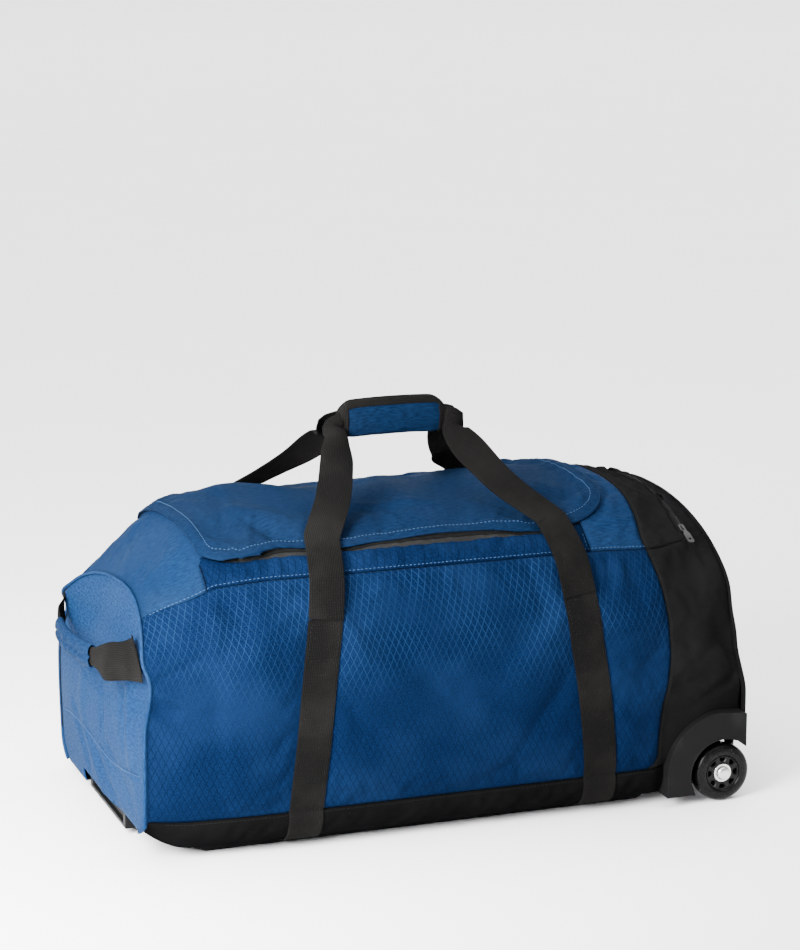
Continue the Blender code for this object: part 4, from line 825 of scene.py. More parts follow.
def cloth_panel(name, left, right, low, high, material, slot, surface=body_point, body="bag",
                lining=None, t_power=1.0, step=CLOTH_STEP):
    """A panel between x = left(t) and right(t), from t = low(x) to high(x), on a displaced skin."""
    mid_t = (low(0.0) + high(0.0)) / 2
    width = float(np.max(right(mid_t) - left(mid_t)))
    depth = float(abs(high(0.0) - low(0.0))) * METRES_PER_T
    columns, rows = max(4, round(width / step)), max(4, round(depth / step))
    u = np.linspace(0, 1, columns + 1)[None, :]
    v = (np.linspace(0, 1, rows + 1) ** t_power)[:, None]
    t = lerp(low(0.0), high(0.0), v) * np.ones_like(u)
    x = lerp(left(t), right(t), u)
    t = lerp(low(x), high(x), v)
    x = lerp(left(t), right(t), u)
    points = surface(x, t)
    u, v = lay_flat(skin(x, t))
    weave = np.stack((x[:, :1] + u, BAND_T * METRES_PER_T + v), axis=-1)
    faces = outward(points.reshape(-1, 3), grid_faces(rows + 1, columns + 1),
                    (float(x.mean()), 0, END_CENTRE_Z))
    return add_piece(name, points, faces, material, slot, body, weave, (name,), CLOTH, lining=lining)


def constant(value):
    return lambda other: value + 0 * np.asarray(other, float)


def trim(piece, inside):
    """Removes the faces whose middle lies where inside(points) is true."""
    shape = bmesh.new()
    shape.from_mesh(piece.data)
    middles = np.array([f.calc_center_median()[:] for f in shape.faces])
    shape.faces.ensure_lookup_table()
    gone = [shape.faces[i] for i in np.flatnonzero(inside(middles))]
    bmesh.ops.delete(shape, geom=gone, context="FACES")
    shape.to_mesh(piece.data)
    shape.free()


def slice_at(piece, planes):
    """Cuts a piece's faces along planes of (point, normal), so that a trim leaves straight edges."""
    shape = bmesh.new()
    shape.from_mesh(piece.data)
    for point, normal in planes:
        everything = list(shape.verts) + list(shape.edges) + list(shape.faces)
        bmesh.ops.bisect_plane(shape, geom=everything, plane_co=point, plane_no=normal, dist=1e-5)
    shape.to_mesh(piece.data)
    shape.free()


def smooth_route(points, spacing):
    """Evenly spaced points along a Catmull-Rom curve through the given ones."""
    points = [np.array(p, float) for p in points]
    ends = [2 * points[0] - points[1], *points, 2 * points[-1] - points[-2]]
    fine = []
    for four in zip(ends, ends[1:], ends[2:], ends[3:]):
        fine += [catmull(four, s) for s in np.linspace(0, 1, 24, endpoint=False)]
    fine = np.array(fine + [points[-1]])
    run = run_along(fine)
    at = np.linspace(0, run[-1], max(3, round(run[-1] / spacing) + 1))
    return along_line(at, run, fine)


def tangents(points):
    ahead = np.vstack((points[1:], points[-1:]))
    behind = np.vstack((points[:1], points[:-1]))
    return unit(ahead - behind)


def strap(name, centre, normals, widths, body, nodes, material=None, slot="webbing_black", cup=0.0,
          thickness=0.0015, columns=12, held="stretched", rests_on=("front_panel", "back_panel")):
    """Webbing along centre with a rounded selvedge; cup bends it across its width."""
    centre, normals = np.asarray(centre), unit(np.asarray(normals))
    along = tangents(centre)
    across = unit(np.cross(along, normals))
    out = unit(np.cross(across, along))
    s = np.linspace(-1, 1, columns + 1)
    widths = np.broadcast_to(np.asarray(widths, float), len(centre))
    cups = np.broadcast_to(np.asarray(cup, float), len(centre))
    points = (centre[:, None] + across[:, None] * (s[None, :, None] * widths[:, None, None] / 2)
              + out[:, None] * (cups[:, None] * (1 - s[None, :] ** 2))[..., None])
    run = run_along(centre)
    weave = np.stack(np.broadcast_arrays(run[:, None], s[None, :] * widths[:, None] / 2), axis=-1)
    piece = add_piece(name, points, grid_faces(len(centre), columns + 1), material or WEBBING, slot, body,
                      weave, nodes, thickness, offset=0.0)
    rounded(piece, thickness * 0.30, 2, 50, "selvedge")
    sheet(piece, held, rests_on)
    return piece


def tube(name, route, radius, material, slot, body, sides):
    """A round piece along a route, closed at both ends."""
    along = tangents(route)
    side = unit(np.cross(along, np.array((0.13, 0.21, 0.97))))
    up = np.cross(side, along)
    turn = np.linspace(0, math.tau, sides, endpoint=False)
    rings = (route[:, None] + radius * (np.cos(turn)[None, :, None] * side[:, None]
                                        + np.sin(turn)[None, :, None] * up[:, None]))
    weave = np.stack(np.broadcast_arrays(run_along(route)[:, None], (turn * radius)[None, :]), axis=-1)
    add_piece(name, rings, closed_faces(len(route), sides), material, slot, body, weave)


def stitches(name, runs, material, slot, body, radius=0.00034):
    """Rows of short raised stitches; each run is (points, normals) along a seam."""
    points, faces = [], []
    turn = np.linspace(0, math.tau, 6, endpoint=False)
    for line, normals in runs:
        line, normals = np.asarray(line), np.asarray(normals)
        run = run_along(line)
        for at in np.arange(STITCH_PITCH / 2, run[-1] - STITCH_LENGTH, STITCH_PITCH):
            start, end = (along_line(at + d, run, line) for d in (0.0, STITCH_LENGTH))
            out = unit(along_line(at, run, normals))
            along = unit(end - start)
            across = np.cross(along, out)
            faces += closed_faces(4, 6, len(points))
            for s, grow, sink in ((0, 0.35, 0.6), (0.25, 1, 0), (0.75, 1, 0), (1, 0.35, 0.6)):
                middle = lerp(start, end, s) - out * radius * sink
                points += [middle + radius * grow * (math.cos(a) * across + math.sin(a) * out) for a in turn]
    add_piece(name, np.array(points), faces, material, slot, body)


def seam_run(x, t, lift=0.0004, surface=body_point):
    """A stitch line along (x, t) on the cloth."""
    x, t = np.broadcast_arrays(np.asarray(x, float), np.asarray(t, float))
    return surface(x, t, lift), skin_normal(x, t)


def turned(name, profile, centre, material, slot, body, nodes=(), steps=96):
    """A shape turned about Y from (radius, y) points; the profile closes on itself."""
    profile = np.array(profile)
    turn = np.linspace(0, math.tau, steps, endpoint=False)
    rings = np.stack(np.broadcast_arrays(profile[None, :, 0] * np.cos(turn)[:, None], profile[None, :, 1],
                                         profile[None, :, 0] * np.sin(turn)[:, None]), axis=-1)
    count = len(profile)
    faces = [(k * count + i, k * count + (i + 1) % count, (k + 1) % steps * count + (i + 1) % count,
              (k + 1) % steps * count + i) for k in range(steps) for i in range(count)]
    piece = add_piece(name, rings + np.array(centre), faces, material, slot, body, nodes=nodes)
    shape = bmesh.new()
    shape.from_mesh(piece.data)
    bmesh.ops.remove_doubles(shape, verts=shape.verts, dist=1e-6)
    bmesh.ops.recalc_face_normals(shape, faces=shape.faces)
    shape.to_mesh(piece.data)
    shape.free()
    piece.data.set_sharp_from_angle(angle=math.radians(38))
    return piece


def round_profile(corners, radius, steps=4):
    """A closed (radius, y) profile with its corners rounded."""
    corners = [np.array(c, float) for c in corners]
    out = []
    for before, corner, after in zip(corners[-1:] + corners[:-1], corners, corners[1:] + corners[:1]):
        reach = [min(radius, np.linalg.norm(p - corner) * 0.45) for p in (before, after)]
        a = corner + unit(before - corner) * reach[0]
        b = corner + unit(after - corner) * reach[1]
        for s in np.linspace(0, 1, steps + 1):
            out.append((1 - s) ** 2 * a + 2 * s * (1 - s) * corner + s * s * b)
    return out


# --- cloth body -----------------------------------------------------------------------------------


def housing_covers(points):
    """True behind the moulded wheel housings, a little inside their outline."""
    x, z = points[:, 0], points[:, 2]
    across = (HOUSING_CREST_X - x) / (HOUSING_CREST_X - HOUSING_LEFT - HOUSING_COVER)
    up = np.maximum(z - HOUSING_SPRING_Z, 0) / (HOUSING_TOP - HOUSING_SPRING_Z - HOUSING_COVER)
    rounding = across ** 2 + up ** 2
    under = (x > HOUSING_LEFT + HOUSING_COVER) & (z < HOUSING_RIGHT_TOP - HOUSING_COVER)
    return under & ((x > HOUSING_CREST_X) | (rounding < 1)) & (np.abs(points[:, 1]) > 0.150)


def side_panels():
    """The black band, ripstop panel and hood of each long side."""
    gap = SEAM / METRES_PER_T
    for side, turn in TURNS:

        def panel(part, left, right, low, high, material, slot, lining=LINING):
            return cloth_panel(f"{side}_{part}", left, right, lambda x: turn(low(x)), lambda x: turn(high(x)),
                               material, slot, lining=lining)

        def edge(t):
            return left_edge(t) + EDGE_GAP

        def stop(t):
            return right_edge(t) - EDGE_GAP

        def before_hood(t):
            return hood_seam(t) - SEAM

        def top(x):
            return side_seam(x) - gap

        band = panel("band", edge, constant(HOUSING_LEFT + 0.004), constant(0.0), constant(BAND_T - gap),
                     BLACK_SHADED, "black_fabric")
        large = panel("panel", edge, before_hood, constant(BAND_T + gap), top, RIPSTOP, "ripstop_blue")
        hood = panel("hood", lambda t: hood_seam(t) + SEAM, stop, constant(BAND_T + gap), top, BLACK,
                     "black_fabric", BLACK)
        trim(hood, housing_covers)
        sheet(band, "stretched", ("bottom_cloth", large.name))
        sheet(large, "stretched", (band.name, hood.name))
        sheet(hood, "stretched", (f"{side}_wheel_housing", "right_end_panel"))


def under_lid(t, edge, out):
    """x of a top panel's edge: on its own seam in front of the lid, and tucked under the lid beside it."""
    inside = smoothstep((np.minimum(t, 1 - t) - 0.392) / 0.012)
    return lerp(edge, out, inside)


def top_panels():
    """The panels round the lid, and the hood's two parts beside the pocket's zip."""
    gap = SEAM / METRES_PER_T

    def low(x):
        return side_seam(x) + gap

    def high(x):
        return 1 - side_seam(x) - gap

    def below_zip(x):
        return curve_value(ZIP_LINE, x)

    slope = cloth_panel("left_slope_panel", lambda t: left_edge(t) + EDGE_GAP,
                        lambda t: under_lid(t, SLOPE_SEAM_X - SEAM, LID_LEFT + 0.006), low, high,
                        PLAIN, "plain_blue", lining=LINING)
    gusset = cloth_panel("front_gusset", constant(SLOPE_SEAM_X + SEAM), constant(RIGHT_SEAM_X - SEAM), low,
                         below_zip, RIPSTOP, "ripstop_blue", lining=LINING)

    def beside_lid(t):
        tucked = lid_sides(np.minimum(t, 1 - t), -0.004)[1]
        return np.where(np.minimum(t, 1 - t) > 0.383, np.maximum(tucked, RIGHT_SEAM_X + SEAM),
                        RIGHT_SEAM_X + SEAM)

    top = cloth_panel("right_top_panel", beside_lid, lambda t: hood_seam(t) - SEAM, low, high, PLAIN,
                      "plain_blue", lining=LINING, step=CLOTH_STEP * 0.8)
    back = cloth_panel("back_gusset", constant(SLOPE_SEAM_X + SEAM), constant(RIGHT_SEAM_X + 0.045),
                       constant(LID_HINGE_T + gap), high, RIPSTOP, "ripstop_blue", lining=LINING)

    def zip_side(t, side):
        """The pocket zip's opening closes to a seam beyond each end of the zip."""
        width = smoothstep((np.minimum(t, 1 - t) - 0.372) / 0.010)
        return POCKET_ZIP_X + side * (0.0003 + (POCKET_ZIP_HALF - 0.0015) * width)

    bridge = cloth_panel("hood_bridge", lambda t: hood_seam(t) + SEAM, lambda t: zip_side(t, -1),
                         low, high, BLACK, "black_fabric", lining=BLACK)
    pocket = cloth_panel("pocket_panel", lambda t: zip_side(t, 1), lambda t: right_edge(t) - EDGE_GAP,
                         low, high, BLACK, "black_fabric", lining=BLACK)
    sheet(slope, "stretched", ("left_end_panel", "front_panel", "back_panel"))
    sheet(gusset, "stretched", ("front_panel", "left_slope_panel"))
    sheet(top, "stretched", ("front_panel", "back_panel", "hood_bridge"))
    sheet(back, "stretched", ("back_panel", "left_slope_panel"))
    sheet(bridge, "stretched", ("right_top_panel", "front_hood", "back_hood"))
    sheet(pocket, "stretched", ("right_end_panel", "front_hood", "back_hood"))


def underside():
    """The bottom cloth, between the two bands."""
    columns, rows = 150, 72
    v = np.linspace(0, 1, rows + 1)[:, None]
    left = left_edge(0.0) + EDGE_GAP
    x = lerp(left, HOUSING_LEFT - 0.0005, np.linspace(0, 1, columns + 1)[None, :]) * np.ones_like(v)
    half = curve_value(HALF_WIDTH, x) - CORNER_RADIUS
    y = half * (2 * v - 1)
    points = settled(np.stack((x, y, np.full_like(x, BASE_Z)), axis=-1))
    faces = outward(points.reshape(-1, 3), grid_faces(rows + 1, columns + 1), (0, 0, END_CENTRE_Z))
    bottom = add_piece("bottom_cloth", points, faces, BLACK_SHADED, "black_fabric", "bag",
                       np.stack((x, y), axis=-1), ("bottom_panel",), CLOTH)
    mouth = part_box("trolley_bezel")[1].y + MOUTH_GAP
    trim(bottom, lambda p: (np.abs(p[:, 1]) < mouth) & (p[:, 0] < BAG_LEFT))
    sheet(bottom, "stretched", ("base_board",))


def partition():
    """The wall between the main room and the end pocket, a little smaller than the cloth round it."""
    t = np.linspace(0.0, 1.0, 160)
    centre = np.array((PARTITION_X, 0.0, PARTITION_Z))
    outline = centre + (skin(PARTITION_X, t) - centre) * PARTITION_SHARE
    rings = lerp(outline[None], centre, np.array((0.0, 0.35, 0.7, 0.97))[:, None, None])
    faces = grid_faces(*rings.shape[:2]) + [tuple(range(3 * len(t), 4 * len(t)))]
    wall = add_piece("pocket_partition_cloth", rings, faces, LINING, "lining_grey", "bag",
                     rings[..., 1:].reshape(-1, 2), ("pocket_partition",), 0.0012, offset=0.0)
    sheet(wall, "stretched", ("right_top_panel",))


def seam_tapes():
    """Bound seam allowances inside the bag, under the cloth; a run is (name, x, t, 1 where it goes round)."""
    t = np.linspace(BAND_T, 1 - BAND_T, 300)
    runs = [("hood", hood_seam(t), t, 1), ("handle_end", left_edge(t) + 0.0040, t, 1)]
    around = np.linspace(0.112, 0.888, 300)
    runs.append(("wheel_end", right_edge(around) - 0.0040, around, 1))
    for name, turn in TURNS:
        x = np.linspace(left_edge(0.35) + 0.004, right_edge(0.35) - 0.004, 260)
        runs.append((f"{name}_side", x, turn(side_seam(x)), 0))
        x = np.linspace(left_edge(BAND_T) + 0.004, HOUSING_LEFT, 220)
        runs.append((f"{name}_band", x, turn(BAND_T + 0 * x), 0))
        t = np.linspace(0.3440, 0.3980, 40)
        runs.append((f"{name}_slope", SLOPE_SEAM_X + 0 * t, turn(t), 1))
        t = np.linspace(0.3440, 0.3880, 40)
        runs.append((f"{name}_right", RIGHT_SEAM_X + 0 * t, turn(t), 1))
    for name, x, t, sideways in runs:
        s = np.linspace(-TAPE_HALF, TAPE_HALF, 4)[:, None]
        x, t = x + s * sideways, t + s * (1 - sideways) / METRES_PER_T
        points = body_point(x, t, -TAPE_DEPTH)
        weave = np.stack(np.broadcast_arrays(arc_length(points, 1), s), axis=-1)
        faces = outward(points.reshape(-1, 3), grid_faces(*x.shape), (float(x.mean()), 0, END_CENTRE_Z))
        tape = add_piece(f"{name}_seam_tape", points, faces, BLACK, "black_fabric", "bag", weave, (), 0.0006)
        sheet(tape, "stretched", ("front_panel", "back_panel"))


def trolley_mouth():
    """The trolley's moulded mouth, a frame with rounded edges in the handle end."""
    points = [(x, y, z) for x in (MOUTH_FRONT, MOUTH_BACK) for half, low, high in (MOUTH_OUTER, MOUTH_INNER)
              for y, z in ((-half, low), (half, low), (half, high), (-half, high))]
    faces = []
    for k in range(4):
        n = (k + 1) % 4
        faces += [(k, 4 + k, 4 + n, n), (8 + n, 12 + n, 12 + k, 8 + k), (n, 8 + n, 8 + k, k),
                  (4 + k, 12 + k, 12 + n, 4 + n)]
    mouth = add_piece("trolley_mouth", np.array(points), faces, MOULDED, "moulded_plastic", "bag",
                      nodes=("trolley_bezel",), smooth=False)
    rounded(mouth, 0.0012, 3)


# Creases on the handle end as (y, z) start and end, width and height.
END_CREASES = (
    ((-0.150, 0.060), (-0.060, 0.100), 0.010, -0.0036), ((-0.120, 0.040), (-0.040, 0.085), 0.008, 0.0026),
    ((-0.080, 0.034), (0.000, 0.080), 0.009, -0.0030), ((-0.165, 0.090), (-0.120, 0.200), 0.013, 0.0034),
    ((-0.020, 0.036), (0.050, 0.100), 0.010, 0.0030), ((0.040, 0.044), (0.100, 0.110), 0.010, -0.0030),
    ((-0.130, 0.120), (-0.095, 0.190), 0.009, -0.0026), ((-0.040, 0.110), (-0.020, 0.190), 0.012, -0.0020),
    ((0.060, 0.110), (0.050, 0.190), 0.014, 0.0024), ((-0.185, 0.190), (-0.120, 0.150), 0.009, -0.0028),
)

# The stitch line across the handle end, as (y, z).
END_SEAM = ((-0.190, 0.1035), (-0.180, 0.1024), (-0.132, 0.0954), (-0.061, 0.0896), (0.021, 0.0930),
            (0.059, 0.0938), (0.108, 0.0903), (0.174, 0.0782), (0.190, 0.0760))


def end_creases(y, z):
    total = 0.0
    for start, end, width, depth in END_CREASES:
        length = math.dist(start, end)
        dy, dz = (end[0] - start[0]) / length, (end[1] - start[1]) / length
        along = ((y - start[0]) * dy + (z - start[1]) * dz) / length
        off = (y - start[0]) * dz - (z - start[1]) * dy
        fade = smoothstep((along + 0.2) / 0.4) * smoothstep((1.2 - along) / 0.4)
        total = total + depth * bump(off, width) * fade
    return total


def end_surface(edge, bulge, direction, folds, around=240, rings=46):
    """Points of a closed end: its seam drawn in to the middle over a soft bulge."""
    t = np.linspace(0, 1, around)
    seam = skin(edge(t), t)
    flat = np.linspace(0, 1, 60)[1:-1, None]
    low_y = curve_value(HALF_WIDTH, edge(0.0)) - CORNER_RADIUS
    bottom = np.hstack((np.full_like(flat, float(edge(0.0))), low_y * (1 - 2 * flat),
                        np.full_like(flat, BASE_Z)))
    outline = np.vstack((seam, settled(bottom)))
    centre = np.array((float(edge(0.2)), 0.0, END_CENTRE_Z))
    inset = (np.linspace(0, 1, rings) ** 1.15)[:, None, None] * 0.995
    points = lerp(outline[None], centre, inset)
    rise = bulge(points[..., 2]) * (1 - (1 - inset[..., 0]) ** 3)
    height = folds(points[..., 1], points[..., 2]) * smoothstep(inset[..., 0] / 0.14)
    points[..., 0] += direction * (rise + height - 0.0012 * bump(inset[..., 0], 0.02))
    return points


def end_panel(name, edge, bulge, material, slot, direction, folds, lining):
    points = end_surface(edge, bulge, direction, folds)
    rings, count = points.shape[:2]
    faces = band_faces(rings, count) + [tuple(range((rings - 1) * count, rings * count))]
    flat = points.reshape(-1, 3)
    faces = outward(flat, faces, (0, flat[faces[len(faces) // 2][0]][1], END_CENTRE_Z))
    return add_piece(name, flat, faces, material, slot, "bag", flat[:, 1:], (name,), CLOTH, lining=lining)


def handle_end_bulge(z):
    """How far the handle end swells out at this height."""
    return 0.0075 + 0.0030 * bump(z - 0.105, 0.045)


def cut_opening(piece, half, top):
    """Cuts away an end's lowest middle part, up to top and this far to each side, with straight edges."""
    slice_at(piece, (((0, half, 0), (0, 1, 0)), ((0, -half, 0), (0, 1, 0)), ((0, 0, top), (0, 0, 1))))
    trim(piece, lambda p: (np.abs(p[:, 1]) < half) & (p[:, 2] < top))


def ends():
    """The handle end, open at the trolley's mouth, and the wheel end, open at its kick plate."""
    def handle_end_folds(y, z):
        seam = bump(z - curve_value(END_SEAM, y), 0.0030)
        return end_creases(y, z) * (1 - seam) - 0.0016 * seam

    left = end_panel("left_end_panel", left_edge, handle_end_bulge, PLAIN_LIT, "plain_blue", -1,
                     handle_end_folds, LINING)
    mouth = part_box("trolley_bezel")[1]
    cut_opening(left, mouth.y + MOUTH_GAP, mouth.z + MOUTH_GAP)
    sheet(left, "stretched", ("front_panel", "back_panel", "bottom_cloth", "left_slope_panel"))

    def soft(y, z):
        ripple = np.sin(y * 46 + 1.0) * np.sin(z * 31)
        return 0.0022 * ripple - 0.0040 * bump(z - 0.245, 0.016) + 0.0022 * bump(z - 0.190, 0.022)

    def wheel_end_bulge(z):
        return lerp(0.0240, 0.0045, smoothstep((z - 0.165) / 0.060))

    right = end_panel("right_end_panel", right_edge, wheel_end_bulge, BLACK, "black_fabric", 1, soft, BLACK)
    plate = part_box("kick_plate")[1]
    side = plate.y + 0.0010
    cut_opening(right, side, plate.z + 0.0004)
    trim(right, lambda p: (p[:, 2] < HOUSING_RIGHT_TOP - 0.003) & (np.abs(p[:, 1]) > side - 0.002))
    sheet(right, "stretched", ("front_hood", "back_hood", "pocket_panel", "kick_plate"))


def piping():
    """Covered cord in the two end seams."""
    for name, edge, material, slot, out in (("left", left_edge, PLAIN_LIT, "plain_blue", -1),
                                            ("right", right_edge, BLACK, "black_fabric", 1)):
        low = 0.012 if out < 0 else 0.118
        t = np.linspace(low, 1 - low, 300)
        route = skin(edge(t), t) + np.array((out * 0.0006, 0, 0)) + skin_normal(edge(t), t) * 0.0002
        tube(f"{name}_seam_piping", route, 0.0019, material, slot, "bag", sides=12)


# --- lid --------------------------------------------------------------------------------------------


def lid():
    """The lid's cloth, its lining and the bound edge."""
    def hem(x):
        return curve_value(LID_HEM, x)

    top = cloth_panel("lid_panel", lambda t: lid_sides(t, 0.0)[0], lambda t: lid_sides(t, 0.0)[1], hem,
                      constant(LID_HINGE_T - 0.0004), PLAIN_SHADED, "plain_blue", surface=lid_point, body="lid",
                      t_power=1.12, lining=LINING)
    inner = -0.013
    inside = cloth_panel("lid_lining", lambda t: lid_sides(t, inner)[0], lambda t: lid_sides(t, inner)[1],
                         lambda x: hem(x) + 0.015, constant(LID_HINGE_T - 0.010), LINING, "lining_grey",
                         surface=lambda x, t: lid_point(x, t, -0.0042), body="lid", step=0.006)
    route = lid_point(*lid_outline(-0.0006, 420), -0.0008)
    tube("lid_edge_binding", route, 0.0012, PLAIN_SHADED, "plain_blue", "lid", sides=8)
    sheet(top, "laid", ("back_gusset", "main_zip_tape"))
    sheet(inside, "hung", (top.name,))


def zip_tape(name, body, inner, outer, lift, surface):
    """Tape along the lid's outline, from inner to outer metres past it."""
    xs, ts = zip(*(lid_outline(g, 420) for g in np.linspace(inner, outer, 5)))
    x, t = np.array(xs), np.array(ts)
    points = surface(x, t, lift)
    across = np.linspace(0, outer - inner, 5)[:, None]
    weave = np.stack(np.broadcast_arrays(arc_length(points, 1), across), axis=-1)
    faces = outward(points.reshape(-1, 3), grid_faces(*x.shape), (0, 0, END_CENTRE_Z))
    tape = add_piece(name, points, faces, TAPE, "zip_tape", body, weave, (name,), 0.0008)
    sheet(tape, "stretched", ("front_gusset",) if body == "bag" else ("lid_panel",))


def zip_teeth(name, points, normals, body, pitch=0.0016, size=(0.0009, 0.0030, 0.0012)):
    """One row of teeth along a zip."""
    run = run_along(points)
    at = np.arange(pitch, run[-1] - pitch, pitch)
    middles = along_line(at, run, points)
    out = unit(along_line(at, run, normals))
    along = tangents(middles)
    across = np.cross(out, along)
    corners = [(a, b, c) for a in (-1, 1) for b in (-1, 1) for c in (-1, 1)]
    sets = [middles + along * a * size[0] / 2 + across * b * size[1] / 2 * (1 - 0.25 * (c > 0))
            + out * c * size[2] / 2 for a, b, c in corners]
    verts = np.stack(sets, axis=1).reshape(-1, 3)
    quads = ((0, 1, 3, 2), (4, 6, 7, 5), (0, 4, 5, 1), (2, 3, 7, 6), (0, 2, 6, 4), (1, 5, 7, 3))
    faces = [tuple(8 * k + i for i in quad) for k in range(len(at)) for quad in quads]
    add_piece(name, verts, faces, BLACK_THREAD, "zip_tape", body, smooth=False)


def main_zip():
    """The zip round the lid: one tape on the body, one on the lid, and the coil between them."""
    zip_tape("main_zip_tape", "bag", -0.0100, 0.0130, -0.0024, body_point)
    zip_tape("lid_zip_tape", "lid", -0.0135, -0.0030, -0.0052, lid_point)
    x, t = lid_outline(0.0010, 500)
    zip_teeth("main_zip_coil", body_point(x, t, -0.0012), skin_normal(x, t), "bag")


def pocket_zip():
    """The arched zip across the hood."""
    turn = np.radians(np.linspace(-POCKET_ARC_DEG, POCKET_ARC_DEG, 120))
    out = np.stack((np.zeros_like(turn), np.sin(turn), np.cos(turn)), axis=-1)
    centre = np.array((POCKET_ZIP_X, 0, POCKET_ARC_TOP - POCKET_ARC_RADIUS))
    route = centre + out * (POCKET_ARC_RADIUS - 0.0002)
    strap("pocket_zip_tape", route, out, 2 * POCKET_ZIP_HALF + 0.0004, "bag", ("pocket_zip_tape",), TAPE,
          "zip_tape", thickness=0.0009, columns=4, rests_on=("hood_bridge", "pocket_panel"))
    zip_teeth("pocket_zip_coil", route + out * 0.0007, out, "bag")
    for name, side in (("left", -1), ("right", 1)):
        welt = route + out * 0.0012 + np.array((side * (POCKET_ZIP_HALF - 0.0006), 0, 0))
        tube(f"pocket_zip_{name}_welt", welt, 0.0012, BLACK, "black_fabric", "bag", sides=8)


# --- webbing ------------------------------------------------------------------------------------------


def skin_strap_rows(t, end, lift):
    """Centre and normals of a strap that lies on the cloth: end -1 left or 1 right."""
    side = np.minimum(t, 1 - t)
    x = end * curve_value(STRAP_X, side)
    return body_point(x, t, lift), skin_normal(x, t)


def lower_straps():
    """The sewn webbing down each side and under the bag."""
    for name, end in (("left", -1), ("right", 1)):
        t = np.linspace(STRAP_SEWN_T + 0.0030, 0.0, 150)
        front, front_out = skin_strap_rows(t, end, 0.0013)
        back, back_out = skin_strap_rows(1 - t[::-1], end, 0.0013)
        under = lerp(front[-1], back[0], np.linspace(0, 1, 60)[1:-1, None])
        down = np.broadcast_to((0.0, 0.0, -1.0), under.shape)
        strap(f"{name}_lower_strap", np.vstack((front, under, back)), np.vstack((front_out, down, back_out)),
              WEBBING_WIDTH, "bag", (f"{name}_lower_strap",))


def loop_leg(side, end, way):
    """One leg of a carry loop, from its sewn end to inside the grip: centre, normals, widths and cups."""
    t = np.linspace(STRAP_SEWN_T + 0.0016, 0.388, 44)
    around = t if side < 0 else 1 - t
    x = end * curve_value(STRAP_X, t)
    on_skin, out = skin(x, around), skin_normal(x, around)
    rise = 0.0020 + 0.0062 * smoothstep((t - STRAP_SEWN_T) / 0.05)
    leg = on_skin + out * rise[:, None]
    way = [(px, side * py, pz) for px, py, pz in way]
    into = (GRIP_X + end * 0.064, side * 0.006, GRIP_Z)
    free = smooth_route([leg[-6], leg[-1], *way, (GRIP_X + end * 0.0765, side * 0.010, GRIP_Z - 0.005), into],
                        0.0035)
    free = free[int(np.argmin(np.linalg.norm(free - leg[-1], axis=1))) + 1:]
    s = np.linspace(0, 1, len(free))[:, None]
    free_out = unit(lerp(out[-1], np.array((0.0, side, 0.0)), smoothstep(s)))
    narrow = smoothstep((s[:, 0] - 0.62) / 0.34)
    widths = np.concatenate((np.full(len(t), WEBBING_WIDTH), lerp(WEBBING_WIDTH, 0.022, narrow)))
    cups = np.concatenate((np.zeros(len(t)), 0.0016 * smoothstep(s[:, 0] * 1.6) + 0.0050 * narrow))
    return np.vstack((leg, free)), np.vstack((out, free_out)), widths, cups


def carry_loops():
    """The free webbing of the two carry loops."""
    for name, side in SIDES:
        left, right = loop_leg(side, -1, LEGS[name, "left"]), loop_leg(side, 1, LEGS[name, "right"])
        mid = np.linspace(-0.060, 0.060, 24)[:, None] * np.array((1.0, 0, 0)) + (GRIP_X, side * 0.006, GRIP_Z)
        centre = np.vstack((left[0], mid, right[0][::-1]))
        normals = np.vstack((left[1], np.broadcast_to((0.0, side, 0.0), mid.shape), right[1][::-1]))
        widths = np.concatenate((left[2], np.full(len(mid), 0.022), right[2][::-1]))
        cups = np.concatenate((left[3], np.full(len(mid), 0.002), right[3][::-1]))
        strap(f"{name}_carry_strap", centre, normals, widths, f"{name}_loop", (f"{name}_carry_strap",),
              cup=cups, held="hung", rests_on=(f"{name}_panel",))


def grip_surface(x, v, side, grow):
    """The padded grip: v runs from the bottom meeting line at -1 to the top one at 1."""
    angle = v * math.pi / 2
    taper = 1 - 0.16 * smoothstep((np.abs(x) - 0.046) / 0.022)
    puff = 1 + 0.05 * np.cos(x * 60) * np.cos(angle)
    y = side * (0.0003 + (GRIP_HALF_DEPTH + grow) * np.maximum(np.cos(angle), 0) ** 0.6 * puff * taper)
    up = np.sign(np.sin(angle)) * np.abs(np.sin(angle)) ** 0.8
    past = np.maximum(np.abs(x) - (GRIP_HALF_LENGTH - 0.016), 0)
    rounded = (0.016 - np.sqrt(np.maximum(0.016 ** 2 - np.minimum(past, 0.016) ** 2, 0))) * 0.9
    lower = np.where(up > 0, rounded * up, 0.0)
    bow = 0.0022 * (1 - (x / GRIP_HALF_LENGTH) ** 2)
    z = GRIP_Z + 0.0010 + bow + (GRIP_HALF_HEIGHT + grow) * up * taper - lower
    return np.stack((x + GRIP_X, y, z), axis=-1)


